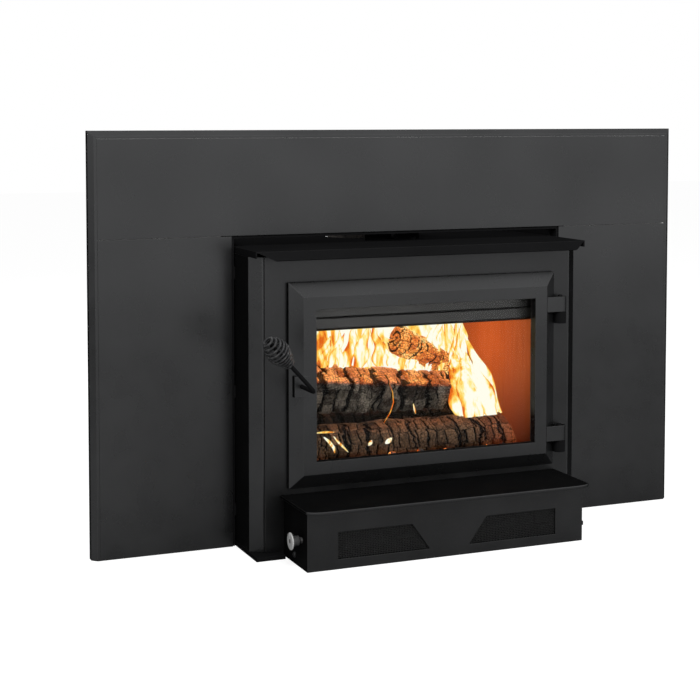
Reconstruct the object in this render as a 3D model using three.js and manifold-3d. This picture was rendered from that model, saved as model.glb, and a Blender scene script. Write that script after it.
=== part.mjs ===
// Wood-burning fireplace insert: steel firebox in an air jacket, glazed door, blower and faceplate.
// Millimetres. X runs along the faceplate, +Y into the fireplace, +Z up. The origin is on the hearth,
// in the plane of the faceplate's front, midway between its ends.
import * as THREE from 'three';
import { mergeVertices } from 'three/addons/utils/BufferGeometryUtils.js';
import Module from 'manifold-3d';

const wasm = await Module();
wasm.setup();

// ---------------------------------------------------------------- driving dimensions
const gap = 0.3; // kept between pieces that touch
const sheet = 2; // folded sheet steel
const plate = 5; // firebox steel

const faceplate = {
  width: 1270,
  height: 806,
  depth: 24,
  bevel: 10,
  lip: 5,
  openingHalf: 359,
  openingTop: 603,
  seam: 1.2,
  bracketShows: 5,
  bracketBehind: 13,
};

const body = {
  half: 351,
  cornerHalf: 330,
  cornerBack: -74,
  cornerFront: -92,
  frontHalf: 326,
  frontFace: -95,
  frontThick: 2.7,
  taperStart: 20,
  rearHalf: 300,
  rear: 330,
  wallTop: 569.2,
};

const base = { half: 352, thick: 8, lipFront: -120, notchHalf: 294.5 };

const cornice = {
  top: 582,
  thick: 2.5,
  bend: -118,
  front: -140,
  frontLow: 567,
  frontLowHalf: 322,
  sideDrop: 12.5,
  sideUp: 15,
  back: 20,
};

const firebox = {
  half: 290.5,
  rear: 275.5,
  floorLow: 112,
  wallTop: 545,
  brick: 30,
  floorBrickTop: 150,
  wallBrickTop: 441.5,
  brickFront: -70,
  joint: 2,
};

const flue = { x: 0, y: 190, inner: 76.2, wall: 2.8, top: 625, flange: 92, segments: 40 };

const door = {
  x: 3.5,
  z: 324.3,
  back: -98,
  edge: -104,
  face: -120,
  outer: [285.2, 195.8],
  flat: [260.6, 169.3],
  window: [234.7, 145.4],
  mouth: [273.5, 184.5],
  glassLap: 11,
  glassFront: -102,
  ledge: -103.5,
  gasketInner: [274.7, 185.6],
  gasketWidth: 7,
};

const hinge = {
  x: 301,
  y: -108,
  radius: 12,
  pin: 5,
  bore: 5.4,
  height: 30,
  offset: 131,
  bracketHeight: 24,
};

const handle = {
  x: -261,
  z: 325,
  rod: 4,
  bore: 4.6,
  bendFront: -188,
  direction: [-0.675, -0.32, 0.667],
  gripStart: 87,
  gripLength: 78,
  gripRadius: 23,
  neckRadius: 7.6,
  tipRadius: 8.4,
  wire: 2.4,
  turns: 10,
  stepsPerTurn: 8,
  wireSides: 5,
};

const pawl = { front: -90, back: -84, hub: 6.5, bore: 4.4, arm: 22, armHalf: 4.5 };

const blower = {
  half: 289,
  front: -220,
  height: 110,
  mesh: { outer: 229, topInner: 78, bottomInner: 41, low: 18.5, high: 69.5 },
  meshLap: 8,
  meshHole: 6,
  meshPitch: 9,
};

const shelf = { half: 296, front: -247, thick: 6, cornerWide: 40, cornerDeep: 17 };

const fan = {
  y: -156,
  z: 54,
  radius: 38,
  inner: 30,
  start: 92,
  end: 200,
  blades: 16,
  shaft: 4,
  shaftEnd: 212,
};

const knob = { y: -192, z: 54, face: 16, hub: 9.5, shaft: 3, bush: 4.2, reach: 24 };
const gland = { y: -157, z: 18, radius: 5.5, bore: 3 };
const airRod = {
  z: 590,
  knobFront: 30,
  knob: 6,
  rod: 3,
  end: 97.7,
  bridge: 50,
  shutterHalf: 50,
  shutterFront: 62,
  slotHalf: 40,
  slot: [70, 88],
};

// ---------------------------------------------------------------- materials
function finish(color, roughness, metalness) {
  return new THREE.MeshStandardMaterial({ color, roughness, metalness });
}

const finishes = {
  paint: finish(0x3c3d3e, 0.75, 0.1),
  darkPaint: finish(0x1c1c1d, 0.8, 0.1),
  steel: finish(0x3a3937, 0.7, 0.5),
  brick: finish(0xb98a5c, 0.95, 0),
  board: finish(0xd8d2c4, 0.95, 0),
  glass: finish(0xb9c2c4, 0.05, 0),
  rope: finish(0x2a2a2a, 0.95, 0),
  bright: finish(0xb4b4b2, 0.35, 0.9),
  spring: finish(0x3a3a3b, 0.4, 0.8),
  mesh: finish(0x161616, 0.7, 0.3),
  wood: finish(0x5a4a3c, 0.95, 0),
  motor: finish(0x55585a, 0.5, 0.5),
  plastic: finish(0x151515, 0.6, 0),
};

// ---------------------------------------------------------------- making and cutting solids
const alongX = new THREE.Vector3(1, 0, 0);
const alongY = new THREE.Vector3(0, 1, 0);
const alongZ = new THREE.Vector3(0, 0, 1);

function signedVolume(positions, corners) {
  let volume = 0;
  const a = new THREE.Vector3();
  const b = new THREE.Vector3();
  const c = new THREE.Vector3();
  for (let i = 0; i < corners.length; i += 3) {
    a.fromArray(positions, 3 * corners[i]);
    b.fromArray(positions, 3 * corners[i + 1]);
    c.fromArray(positions, 3 * corners[i + 2]);
    volume += a.dot(b.cross(c)) / 6;
  }
  return volume;
}

function solidOf(geometry) {
  const bare = geometry.clone();
  bare.deleteAttribute('normal');
  bare.deleteAttribute('uv');
  const merged = mergeVertices(bare, 1e-3);
  const positions = merged.attributes.position.array;
  const corners = [];
  for (let i = 0; i < merged.index.count; i += 3) {
    const a = merged.index.getX(i);
    const b = merged.index.getX(i + 1);
    const c = merged.index.getX(i + 2);
    if (a !== b && b !== c && c !== a) {
      corners.push(a, b, c);
    }
  }
  if (signedVolume(positions, corners) < 0) {
    corners.reverse();
  }
  const vertProperties = new Float32Array(positions);
  const triVerts = new Uint32Array(corners);
  return new wasm.Manifold(new wasm.Mesh({ numProp: 3, vertProperties, triVerts }));
}

function geometryOf(solid) {
  const mesh = solid.getMesh();
  const geometry = new THREE.BufferGeometry();
  geometry.setAttribute('position', new THREE.BufferAttribute(mesh.vertProperties, 3));
  geometry.setIndex(new THREE.BufferAttribute(mesh.triVerts, 1));
  geometry.computeVertexNormals();
  return geometry;
}

function joined(solids) {
  return solids.reduce((whole, next) => whole.add(next));
}

function block(x, y, z) {
  const geometry = new THREE.BoxGeometry(x[1] - x[0], y[1] - y[0], z[1] - z[0]);
  geometry.translate((x[0] + x[1]) / 2, (y[0] + y[1]) / 2, (z[0] + z[1]) / 2);
  return solidOf(geometry);
}

// An outline pulled along one axis. It is drawn in the other two: X, Y for z; X, Z for y; Y, Z for x.
function prism(axis, outline, span, holes = []) {
  const toPoints = (list) => list.map(([a, b]) => new THREE.Vector2(a, b));
  const shape = new THREE.Shape(toPoints(outline));
  for (const hole of holes) {
    shape.holes.push(new THREE.Path(toPoints(hole)));
  }
  const depth = span[1] - span[0];
  const geometry = new THREE.ExtrudeGeometry(shape, { depth, bevelEnabled: false });
  const turn = new THREE.Matrix4();
  if (axis === 'x') {
    turn.makeBasis(alongY, alongZ, alongX).setPosition(span[0], 0, 0);
  } else if (axis === 'y') {
    turn.makeBasis(alongX, alongZ, alongY.clone().negate()).setPosition(0, span[1], 0);
  } else {
    turn.setPosition(0, 0, span[0]);
  }
  return solidOf(geometry.applyMatrix4(turn));
}

// A profile of [radius, distance along the axis] pairs turned about an axis through `at`.
function turned(axis, profile, at, segments = 24) {
  const points = profile.map(([radius, along]) => new THREE.Vector2(radius, along));
  const geometry = new THREE.LatheGeometry(points, segments);
  const turn = new THREE.Matrix4();
  if (axis === 'x') {
    turn.makeBasis(alongZ, alongX, alongY);
  } else if (axis === 'z') {
    turn.makeBasis(alongY, alongZ, alongX);
  }
  turn.setPosition(...at);
  return solidOf(geometry.applyMatrix4(turn));
}

function rod(axis, radius, span, at, segments = 24) {
  const profile = [[0, span[0]], [radius, span[0]], [radius, span[1]], [0, span[1]]];
  return turned(axis, profile, at, segments);
}

function ring(axis, inner, outer, span, at, segments = 24) {
  const low = span[0];
  const high = span[1];
  const profile = [[inner, low], [outer, low], [outer, high], [inner, high], [inner, low]];
  return turned(axis, profile, at, segments);
}

// A closed body drawn over rings of equally many points, its convex ends filled in.
function skinned(rings) {
  const count = rings[0].length;
  const positions = rings.flat().flatMap((point) => point.toArray());
  const corners = [];
  for (let i = 0; i < rings.length - 1; i += 1) {
    for (let j = 0; j < count; j += 1) {
      const next = (j + 1) % count;
      const here = i * count;
      const there = here + count;
      corners.push(here + j, here + next, there + next);
      corners.push(here + j, there + next, there + j);
    }
  }
  const last = (rings.length - 1) * count;
  for (let j = 1; j < count - 1; j += 1) {
    corners.push(0, j + 1, j);
    corners.push(last, last + j, last + j + 1);
  }
  const geometry = new THREE.BufferGeometry();
  geometry.setAttribute('position', new THREE.Float32BufferAttribute(positions, 3));
  geometry.setIndex(corners);
  return solidOf(geometry);
}

// The outline of folded sheet: the line of its outer side, and the same line one thickness inside.
function folded(line, thickness) {
  const points = line.map(([a, b]) => new THREE.Vector2(a, b));
  const inside = points.map((point, i) => {
    const before = points[Math.max(i - 1, 0)];
    const after = points[Math.min(i + 1, points.length - 1)];
    const incoming = point.clone().sub(before).normalize();
    const outgoing = after.clone().sub(point).normalize();
    const first = i === 0 ? outgoing : incoming;
    const second = i === points.length - 1 ? incoming : outgoing;
    const normal = new THREE.Vector2(-first.y, first.x);
    const mitre = new THREE.Vector2(-second.y, second.x).add(normal).normalize();
    return point.clone().addScaledVector(mitre, thickness / mitre.dot(normal));
  });
  return [...points, ...inside.reverse()].map((point) => [point.x, point.y]);
}

function rectangle(halfWidth, halfHeight, x = 0, z = 0) {
  return [
    [x - halfWidth, z - halfHeight],
    [x + halfWidth, z - halfHeight],
    [x + halfWidth, z + halfHeight],
    [x - halfWidth, z + halfHeight],
  ];
}

function mirroredOutline(outline, side) {
  return outline.map(([x, other]) => [side * x, other]);
}

function ordered(a, b) {
  return [Math.min(a, b), Math.max(a, b)];
}

const insert = new THREE.Group();

function place(name, solid, material, group = insert) {
  const mesh = new THREE.Mesh(geometryOf(solid), material);
  mesh.name = name;
  group.add(mesh);
  return mesh;
}

// ---------------------------------------------------------------- faceplate
// A panel folded back along its edges. The hollow is the outline in X, Z that has no fold behind it.
function panelTray(x, z, hollow) {
  const depth = faceplate.depth - 6;
  return block(x, [0, depth], z).subtract(prism('y', hollow, [sheet, depth + 5]));
}

function makeFaceplate() {
  const half = faceplate.width / 2;
  const panelHalf = half - faceplate.bevel - faceplate.lip - gap;
  const panelTop = faceplate.height - faceplate.bevel - faceplate.lip - gap;
  const topLow = faceplate.openingTop + faceplate.seam / 2;
  const sideHigh = faceplate.openingTop - faceplate.seam / 2;
  const bracketHalf = faceplate.openingHalf + faceplate.bracketBehind;
  const foldEnd = bracketHalf + 2;
  const inside = panelHalf - sheet;

  // The top panel is folded back all round, except where the frame of the opening passes.
  const topHollow = [
    [-inside, topLow + sheet],
    [-foldEnd, topLow + sheet],
    [-foldEnd, topLow - 5],
    [foldEnd, topLow - 5],
    [foldEnd, topLow + sheet],
    [inside, topLow + sheet],
    [inside, panelTop - sheet],
    [-inside, panelTop - sheet],
  ];
  const top = panelTray([-panelHalf, panelHalf], [topLow, panelTop], topHollow);
  place('faceplate_top_panel', top, finishes.paint);

  for (const [name, side] of [['left', -1], ['right', 1]]) {
    const wide = ordered(side * faceplate.openingHalf, side * panelHalf);
    const hollow = mirroredOutline([
      [faceplate.openingHalf - 5, -5],
      [foldEnd, -5],
      [foldEnd, sheet],
      [inside, sheet],
      [inside, sideHigh - sheet],
      [foldEnd, sideHigh - sheet],
      [foldEnd, sideHigh + 5],
      [faceplate.openingHalf - 5, sideHigh + 5],
    ], side);
    place(`faceplate_${name}_panel`, panelTray(wide, [0, sideHigh], hollow), finishes.paint);
  }

  // Bevelled trim, mitred where the sides meet the top.
  const lipInner = half - faceplate.bevel - faceplate.lip;
  const sideLine = [
    [lipInner, 0],
    [half - faceplate.bevel, 0],
    [half, faceplate.bevel],
    [half, faceplate.depth],
  ];
  const reach = 40;
  for (const [name, side] of [['left', -1], ['right', 1]]) {
    const outline = mirroredOutline(folded(sideLine, sheet), side);
    const length = prism('z', outline, [0, faceplate.height]);
    const aboveMitre = mirroredOutline([
      [half + 5, faceplate.height + 5 - gap],
      [half - reach, faceplate.height - reach - gap],
      [half - reach, faceplate.height + reach],
      [half + 5, faceplate.height + reach],
    ], side);
    const trim = length.subtract(prism('y', aboveMitre, [-5, faceplate.depth + 5]));
    place(`trim_${name}`, trim, finishes.paint);
  }
  const topShift = faceplate.height - half;
  const topLine = sideLine.map(([out, y]) => [y, out + topShift]);
  let topTrim = prism('x', folded(topLine, -sheet), [-half, half]);
  for (const side of [-1, 1]) {
    const belowMitre = mirroredOutline([
      [half + 5, faceplate.height + 5],
      [half - reach, faceplate.height - reach],
      [half + 5, faceplate.height - reach],
    ], side);
    topTrim = topTrim.subtract(prism('y', belowMitre, [-5, faceplate.depth + 5]));
  }
  place('trim_top', topTrim, finishes.paint);

  // Channel frame behind the panels, round the opening, with tabs that reach the jacket.
  const inner = faceplate.openingHalf - faceplate.bracketShows;
  const innerTop = faceplate.openingTop - faceplate.bracketShows;
  const outerTop = faceplate.openingTop + faceplate.bracketBehind - 4;
  const front = sheet + gap;
  const outline = [
    [-bracketHalf, gap],
    [-inner, gap],
    [-inner, innerTop],
    [inner, innerTop],
    [inner, gap],
    [bracketHalf, gap],
    [bracketHalf, outerTop],
    [-bracketHalf, outerTop],
  ];
  const legInside = bracketHalf - sheet;
  const returnOuter = inner + sheet;
  const channel = [
    [-legInside, -5],
    [-returnOuter, -5],
    [-returnOuter, innerTop + sheet],
    [returnOuter, innerTop + sheet],
    [returnOuter, -5],
    [legInside, -5],
    [legInside, outerTop + 5],
    [-legInside, outerTop + 5],
  ];
  const solids = [
    prism('y', outline, [front, front + 26])
      .subtract(prism('y', channel, [front + sheet, front + 40])),
  ];
  for (const side of [-1, 1]) {
    const tab = ordered(side * (body.half + gap), side * (inner + 2));
    for (const z of [60, 290, 520]) {
      solids.push(block(tab, [front + 0.4, front + sheet - 0.4], [z, z + 24]));
    }
  }
  place('opening_frame', joined(solids), finishes.darkPaint);
}

// ---------------------------------------------------------------- outer jacket
function makeJacket() {
  const rearWide = body.rearHalf + 2;
  const baseOutline = [
    [-base.half, base.lipFront],
    [-base.notchHalf, base.lipFront],
    [-base.notchHalf, body.frontFace],
    [base.notchHalf, body.frontFace],
    [base.notchHalf, base.lipFront],
    [base.half, base.lipFront],
    [base.half, body.taperStart],
    [rearWide, body.rear + sheet],
    [-rearWide, body.rear + sheet],
    [-base.half, body.taperStart],
  ];
  place('base_plate', prism('z', baseOutline, [0, base.thick]), finishes.darkPaint);

  const wallSpan = [base.thick + gap, body.wallTop];
  for (const [name, side] of [['left', -1], ['right', 1]]) {
    const line = [
      [body.rearHalf, body.rear],
      [body.half, body.taperStart],
      [body.half, body.cornerBack],
      [body.cornerHalf, body.cornerFront],
      [body.frontHalf - 8, body.cornerFront],
    ];
    const outline = mirroredOutline(folded(line, -sheet), side);
    place(`jacket_${name}`, prism('z', outline, wallSpan), finishes.paint);
  }
  const rearSpan = [body.rear + gap, body.rear + sheet];
  const rear = block([-body.rearHalf, body.rearHalf], rearSpan, wallSpan);
  place('jacket_rear', rear, finishes.steel);

  // Rear part of the top, with edges turned up and down, the flue hole and the air slot.
  const low = cornice.top - cornice.sideDrop;
  const start = cornice.back + gap;
  const topOutline = [
    [-body.half, start],
    [body.half, start],
    [rearWide, body.rear + sheet],
    [-rearWide, body.rear + sheet],
  ];
  const inset = cornice.thick;
  const hollow = [
    [-body.half + inset, start - 5],
    [body.half - inset, start - 5],
    [rearWide - inset, body.rear + sheet - inset],
    [-rearWide + inset, body.rear + sheet - inset],
  ];
  const underside = cornice.top - cornice.thick;
  const lid = prism('z', topOutline, [low + gap, cornice.top + cornice.sideUp])
    .subtract(prism('z', hollow, [low - 5, underside]))
    .subtract(prism('z', hollow, [cornice.top, cornice.top + cornice.sideUp + 5]))
    .subtract(rod('z', flue.flange + 3, [underside - 5, cornice.top + 5], [flue.x, flue.y, 0], 40))
    .subtract(block([-airRod.slotHalf, airRod.slotHalf], airRod.slot,
      [underside - 5, cornice.top + 5]));
  // A bridge that guides the air rod, with a tunnel for the shutter.
  const tunnel = airRod.shutterHalf + 3;
  const bridgeSpan = [airRod.bridge, airRod.bridge + sheet];
  const bridge = block([-tunnel - 7, tunnel + 7], bridgeSpan, [cornice.top - 1, cornice.top + 15])
    .subtract(block([-tunnel, tunnel], [airRod.bridge - 5, airRod.bridge + 5],
      [cornice.top, cornice.top + 3.6]))
    .subtract(rod('y', airRod.rod + 0.4, [airRod.bridge - 5, airRod.bridge + 5],
      [0, 0, airRod.z], 16));
  place('jacket_top', lid.add(bridge), finishes.darkPaint);
}

function makeCornice() {
  const underside = cornice.top - cornice.thick;
  const low = cornice.top - cornice.sideDrop;
  const inside = body.half - cornice.thick;
  const top = block([-body.half, body.half], [cornice.bend, cornice.back], [low, cornice.top])
    .subtract(block([-inside, inside], [cornice.bend - 5, cornice.back + 5], [low - 5, underside]));
  // The front edge slopes forward and down, and its ends taper in.
  const start = [cornice.bend + 1, cornice.top - 0.5];
  const slope = folded([start, [cornice.front, cornice.frontLow]], cornice.thick);
  let front = prism('x', slope, [-body.half, body.half]);
  const fall = cornice.top - cornice.frontLow;
  const taper = (body.half - cornice.frontLowHalf) / fall;
  const below = 8;
  for (const side of [-1, 1]) {
    const corner = mirroredOutline([
      [body.half, cornice.top],
      [cornice.frontLowHalf - taper * below, cornice.frontLow - below],
      [body.half + 5, cornice.frontLow - below],
      [body.half + 5, cornice.top],
    ], side);
    front = front.subtract(prism('y', corner, [cornice.front - 10, cornice.bend + 10]));
  }
  place('cornice', top.add(front), finishes.paint);
}

function makeFrontPlate() {
  const outline = rectangle(body.frontHalf, (body.wallTop - base.thick - gap) / 2, 0,
    (body.wallTop + base.thick + gap) / 2);
  const mouth = rectangle(...door.mouth, door.x, door.z);
  const airInlet = rectangle(200, 41, 0, 55);
  const span = [body.frontFace, body.frontFace + body.frontThick];
  place('front_plate', prism('y', outline, span, [mouth, airInlet]), finishes.paint);
}

// ---------------------------------------------------------------- firebox
function makeFirebox() {
  const front = body.frontFace + body.frontThick + gap;
  const inner = firebox.half - plate;
  const floorTop = firebox.floorLow + plate;
  const between = inner - gap;

  const lip = block([-between, between], [firebox.brickFront - 5, firebox.brickFront - gap],
    [floorTop - 1, firebox.floorBrickTop]);
  const floor = block([-between, between], [front, firebox.rear - plate - gap],
    [firebox.floorLow, floorTop]);
  place('firebox_floor', floor.add(lip), finishes.steel);

  for (const [name, side] of [['left', -1], ['right', 1]]) {
    const x = ordered(side * inner, side * firebox.half);
    const wall = block(x, [front, firebox.rear], [base.thick + gap, firebox.wallTop]);
    place(`firebox_${name}_wall`, wall, finishes.steel);
  }
  const rear = block([-between, between], [firebox.rear - plate, firebox.rear], [60, firebox.wallTop]);
  place('firebox_rear_wall', rear, finishes.steel);

  const roofLow = firebox.wallTop + gap;
  const roof = block([-firebox.half, firebox.half], [front, firebox.rear], [roofLow, roofLow + plate])
    .subtract(rod('z', flue.inner, [roofLow - 5, roofLow + 15], [flue.x, flue.y, 0], flue.segments));
  place('firebox_roof', roof, finishes.steel);

  const seat = roofLow + plate + gap;
  const outer = flue.inner + flue.wall;
  const profile = [
    [flue.inner, seat],
    [flue.flange, seat],
    [flue.flange, seat + 3],
    [outer, seat + 3],
    [outer, flue.top],
    [flue.inner, flue.top],
    [flue.inner, seat],
  ];
  const collar = turned('z', profile, [flue.x, flue.y, 0], flue.segments);
  place('flue_collar', collar, finishes.steel);
}

// A slab of firebricks with open joints on the side that faces the fire.
function brickSlab(x, y, z, joints) {
  let slab = block(x, y, z);
  for (const [jointX, jointY, jointZ] of joints) {
    slab = slab.subtract(block(jointX, jointY, jointZ));
  }
  return slab;
}

function makeBricks() {
  const inner = firebox.half - plate - gap;
  const face = inner - firebox.brick;
  const rearFace = firebox.rear - plate - gap - firebox.brick;
  const low = firebox.floorLow + plate + gap;
  const deep = 3;
  const halfJoint = firebox.joint / 2;

  const sideCount = 3;
  const sideRun = firebox.rear - plate - gap - firebox.brickFront;
  for (const [name, side] of [['left', -1], ['right', 1]]) {
    const x = ordered(side * face, side * inner);
    const joints = [];
    for (let i = 1; i < sideCount; i += 1) {
      const y = firebox.brickFront + (i * sideRun) / sideCount;
      joints.push([
        ordered(side * (face - 5), side * (face + deep)),
        [y - halfJoint, y + halfJoint],
        [low - 5, firebox.wallBrickTop + 5],
      ]);
    }
    const y = [firebox.brickFront, firebox.rear - plate - gap];
    place(`brick_${name}`, brickSlab(x, y, [low, firebox.wallBrickTop], joints), finishes.brick);
  }

  const wide = face - gap;
  const rearCount = 4;
  const rearJoints = [];
  for (let i = 1; i < rearCount; i += 1) {
    const x = -wide + (i * 2 * wide) / rearCount;
    rearJoints.push([
      [x - halfJoint, x + halfJoint],
      [rearFace - 5, rearFace + deep],
      [low - 5, firebox.wallBrickTop + 5],
    ]);
  }
  const rearY = [rearFace, rearFace + firebox.brick];
  const rear = brickSlab([-wide, wide], rearY, [low, firebox.wallBrickTop], rearJoints);
  place('brick_rear', rear, finishes.brick);

  const floorY = [firebox.brickFront, rearFace - gap];
  const top = firebox.floorBrickTop;
  const floorJoints = [];
  for (let i = 1; i < rearCount; i += 1) {
    const x = -wide + (i * 2 * wide) / rearCount;
    floorJoints.push([
      [x - halfJoint, x + halfJoint],
      [floorY[0] - 5, floorY[1] + 5],
      [top - deep, top + 5],
    ]);
  }
  const middle = (floorY[0] + floorY[1]) / 2;
  floorJoints.push([
    [-wide - 5, wide + 5],
    [middle - halfJoint, middle + halfJoint],
    [top - deep + 0.5, top + 5],
  ]);
  place('brick_floor', brickSlab([-wide, wide], floorY, [low, top], floorJoints), finishes.brick);
}

function makeAirSystem() {
  const inner = firebox.half - plate - gap;
  const tube = { radius: 11, wall: 1.5 };
  const z = firebox.wallBrickTop + gap + tube.radius;
  for (const [name, y] of [['front', 20], ['middle', 110], ['rear', 200]]) {
    const solid = ring('x', tube.radius - tube.wall, tube.radius, [-inner, inner], [0, y, z], 16);
    place(`air_tube_${name}`, solid, finishes.steel);
  }
  const boardLow = z + tube.radius + gap;
  const board = block([-inner, inner], [-20, firebox.rear - plate - gap], [boardLow, boardLow + 25]);
  place('baffle_board', board, finishes.board);

  const line = [
    [-82, 423],
    [-86, 428],
    [-86, 446],
    [-82.5, 450],
    [-82.5, 470],
    [-66, 500],
    [-66, firebox.wallTop],
  ];
  const deflector = prism('x', folded(line, -sheet), [-inner, inner]);
  place('airwash_deflector', deflector, finishes.steel);
}

// ---------------------------------------------------------------- air control
function makeAirControl(group) {
  const front = airRod.knobFront;
  const profile = [
    [0, front],
    [airRod.knob - 1, front],
    [airRod.knob, front + 1.5],
    [airRod.knob, front + 14],
    [airRod.rod, front + 16],
    [airRod.rod, airRod.end],
    [0, airRod.end],
  ];
  const control = turned('y', profile, [0, 0, airRod.z], 16);
  place('air_control_rod', control, finishes.bright, group);

  const half = airRod.shutterHalf;
  const low = cornice.top + gap;
  const shutter = block([-half, half], [airRod.shutterFront, airRod.end + 4], [low, low + sheet])
    .add(block([-9, 9], [airRod.end + gap, airRod.end + 3], [low, airRod.z + 6]));
  place('air_shutter', shutter, finishes.steel, group);
}

// ---------------------------------------------------------------- logs
// A split log lying along its own X axis, thinner towards one end, with a gently uneven side.
function logSolid(length, startRadius, endRadius, phase, slant) {
  const rings = [];
  const steps = 12;
  const sides = 14;
  for (let i = 0; i <= steps; i += 1) {
    const t = i / steps;
    const along = (t - 0.5) * length;
    const radius = startRadius + (endRadius - startRadius) * t;
    const points = [];
    for (let j = 0; j < sides; j += 1) {
      const angle = (2 * Math.PI * j) / sides;
      const uneven = 1 - 0.03 * (1 + Math.sin(3 * angle + 5 * t + phase));
      const y = radius * uneven * Math.cos(angle);
      const z = radius * uneven * Math.sin(angle);
      points.push(new THREE.Vector3(along - slant * t * z, y, z));
    }
    rings.push(points);
  }
  return skinned(rings);
}

function makeLogs() {
  const logs = [
    { name: 'log_front', from: [-232, -22, 41], to: [226, -20, 40], phase: 0, slant: 0.45 },
    { name: 'log_rear', from: [-220, 92, 46], to: [212, 88, 42], phase: 2, slant: 0 },
  ];
  const floor = firebox.floorBrickTop + gap;
  for (const log of logs) {
    const [x0, y0, r0] = log.from;
    const [x1, y1, r1] = log.to;
    const start = new THREE.Vector3(x0, y0, floor + r0);
    const end = new THREE.Vector3(x1, y1, floor + r1);
    layLog(log.name, start, end, r0, r1, log.phase, log.slant);
  }
  const start = new THREE.Vector3(-228, 38, 295);
  const end = new THREE.Vector3(182, 34, 262);
  layLog('log_upper', start, end, 56, 40, 4, 0);
}

function layLog(name, start, end, startRadius, endRadius, phase, slant) {
  const along = end.clone().sub(start);
  const solid = logSolid(along.length(), startRadius, endRadius, phase, slant);
  const mesh = place(name, solid, finishes.wood);
  mesh.position.copy(start).add(end).multiplyScalar(0.5);
  mesh.quaternion.setFromUnitVectors(alongX, along.normalize());
}

// ---------------------------------------------------------------- door
function frameRing(inner, outer, span) {
  const outerOutline = rectangle(...outer, door.x, door.z);
  return prism('y', outerOutline, span, [rectangle(...inner, door.x, door.z)]);
}

function grown(half, by) {
  return [half[0] + by, half[1] + by];
}

function makeDoor(group) {
  const ringAt = (half, y) => rectangle(...half, door.x, door.z)
    .map(([x, z]) => new THREE.Vector3(x, y, z));
  const rings = [ringAt(door.outer, door.back), ringAt(door.outer, door.edge)];
  rings.push(ringAt(door.flat, door.face));
  const window = rectangle(...door.window, door.x, door.z);
  const glassHalf = grown(door.window, door.glassLap);
  const rebate = rectangle(...grown(glassHalf, 0.5), door.x, door.z);
  const gasketOuter = grown(door.gasketInner, door.gasketWidth);
  const groove = frameRing(grown(door.gasketInner, -gap), grown(gasketOuter, gap),
    [door.back - 3.3, door.back + 5]);
  const frame = skinned(rings)
    .subtract(prism('y', window, [door.face - 5, door.back + 5]))
    .subtract(prism('y', rebate, [door.ledge, door.back + 5]))
    .subtract(groove)
    .subtract(rod('y', handle.bore, [door.face - 5, door.back + 5], [handle.x, 0, handle.z], 16));
  place('door_frame', frame, finishes.paint, group);

  const tape = frameRing(grown(door.window, 0.5), glassHalf,
    [door.ledge + gap, door.glassFront - gap]);
  place('glass_gasket', tape, finishes.rope, group);
  const glassSpan = [door.glassFront, door.back - gap];
  const glass = prism('y', rectangle(...glassHalf, door.x, door.z), glassSpan);
  place('door_glass', glass, finishes.glass, group);
  const retainer = frameRing(grown(door.window, 2), grown(door.window, 17),
    [door.back + gap, door.back + gap + sheet]);
  place('glass_retainer', retainer, finishes.steel, group);
  const seal = frameRing(door.gasketInner, gasketOuter, [door.back - 3, body.frontFace - gap]);
  place('door_gasket', seal, finishes.rope, group);
}

// The height of the door's sloping edge at a distance x from its middle.
function bevelDepth(x) {
  const run = door.outer[0] - door.flat[0];
  const part = Math.min(Math.max((Math.abs(x - door.x) - door.flat[0]) / run, 0), 1);
  return door.face + part * (door.edge - door.face);
}

function makeHinges(doorGroup) {
  const doorEdge = door.x + door.outer[0];
  const faceEdge = door.x + door.flat[0];
  const clear = 0.5;
  const arcPoints = [];
  const arcSteps = 10;
  for (let i = 0; i <= arcSteps; i += 1) {
    const angle = -Math.PI / 2 + (i * Math.PI) / arcSteps;
    const x = hinge.x + hinge.radius * Math.cos(angle);
    arcPoints.push([x, hinge.y + hinge.radius * Math.sin(angle)]);
  }
  const strapOutline = [
    [faceEdge + 1, door.face],
    ...arcPoints,
    [doorEdge + clear, hinge.y + hinge.radius],
    [doorEdge + clear, door.edge - clear],
    [faceEdge + 1, bevelDepth(faceEdge + 1) - clear],
  ];
  const bracketOutline = [];
  for (let i = 0; i <= 12; i += 1) {
    const angle = Math.PI + (i * Math.PI) / 12;
    const x = hinge.x + hinge.radius * Math.cos(angle);
    bracketOutline.push([x, hinge.y + hinge.radius * Math.sin(angle)]);
  }
  const seat = body.frontFace - gap;
  bracketOutline.push([hinge.x + hinge.radius, seat], [hinge.x - 8, seat]);
  bracketOutline.push([hinge.x - hinge.radius, hinge.y + 4]);

  for (const [name, side] of [['lower', -1], ['upper', 1]]) {
    const low = door.z + side * hinge.offset - hinge.height / 2;
    const high = low + hinge.height;
    const at = [hinge.x, hinge.y, 0];
    const strap = prism('z', strapOutline, [low, high])
      .subtract(rod('z', hinge.bore, [low - 5, high + 5], at));
    place(`hinge_strap_${name}`, strap, finishes.paint, doorGroup);

    const bracketSpan = [low - gap - hinge.bracketHeight, low - gap];
    const bracket = prism('z', bracketOutline, bracketSpan)
      .subtract(rod('z', hinge.bore, [bracketSpan[0] - 5, bracketSpan[1] + 5], at));
    place(`hinge_bracket_${name}`, bracket, finishes.darkPaint);

    const profile = [
      [0, bracketSpan[0]],
      [hinge.pin - 0.8, bracketSpan[0]],
      [hinge.pin, bracketSpan[0] + 0.8],
      [hinge.pin, high + 1],
      [hinge.pin - 2, high + 3],
      [0, high + 3.4],
    ];
    place(`hinge_pin_${name}`, turned('z', profile, at), finishes.steel);
  }
}

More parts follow.
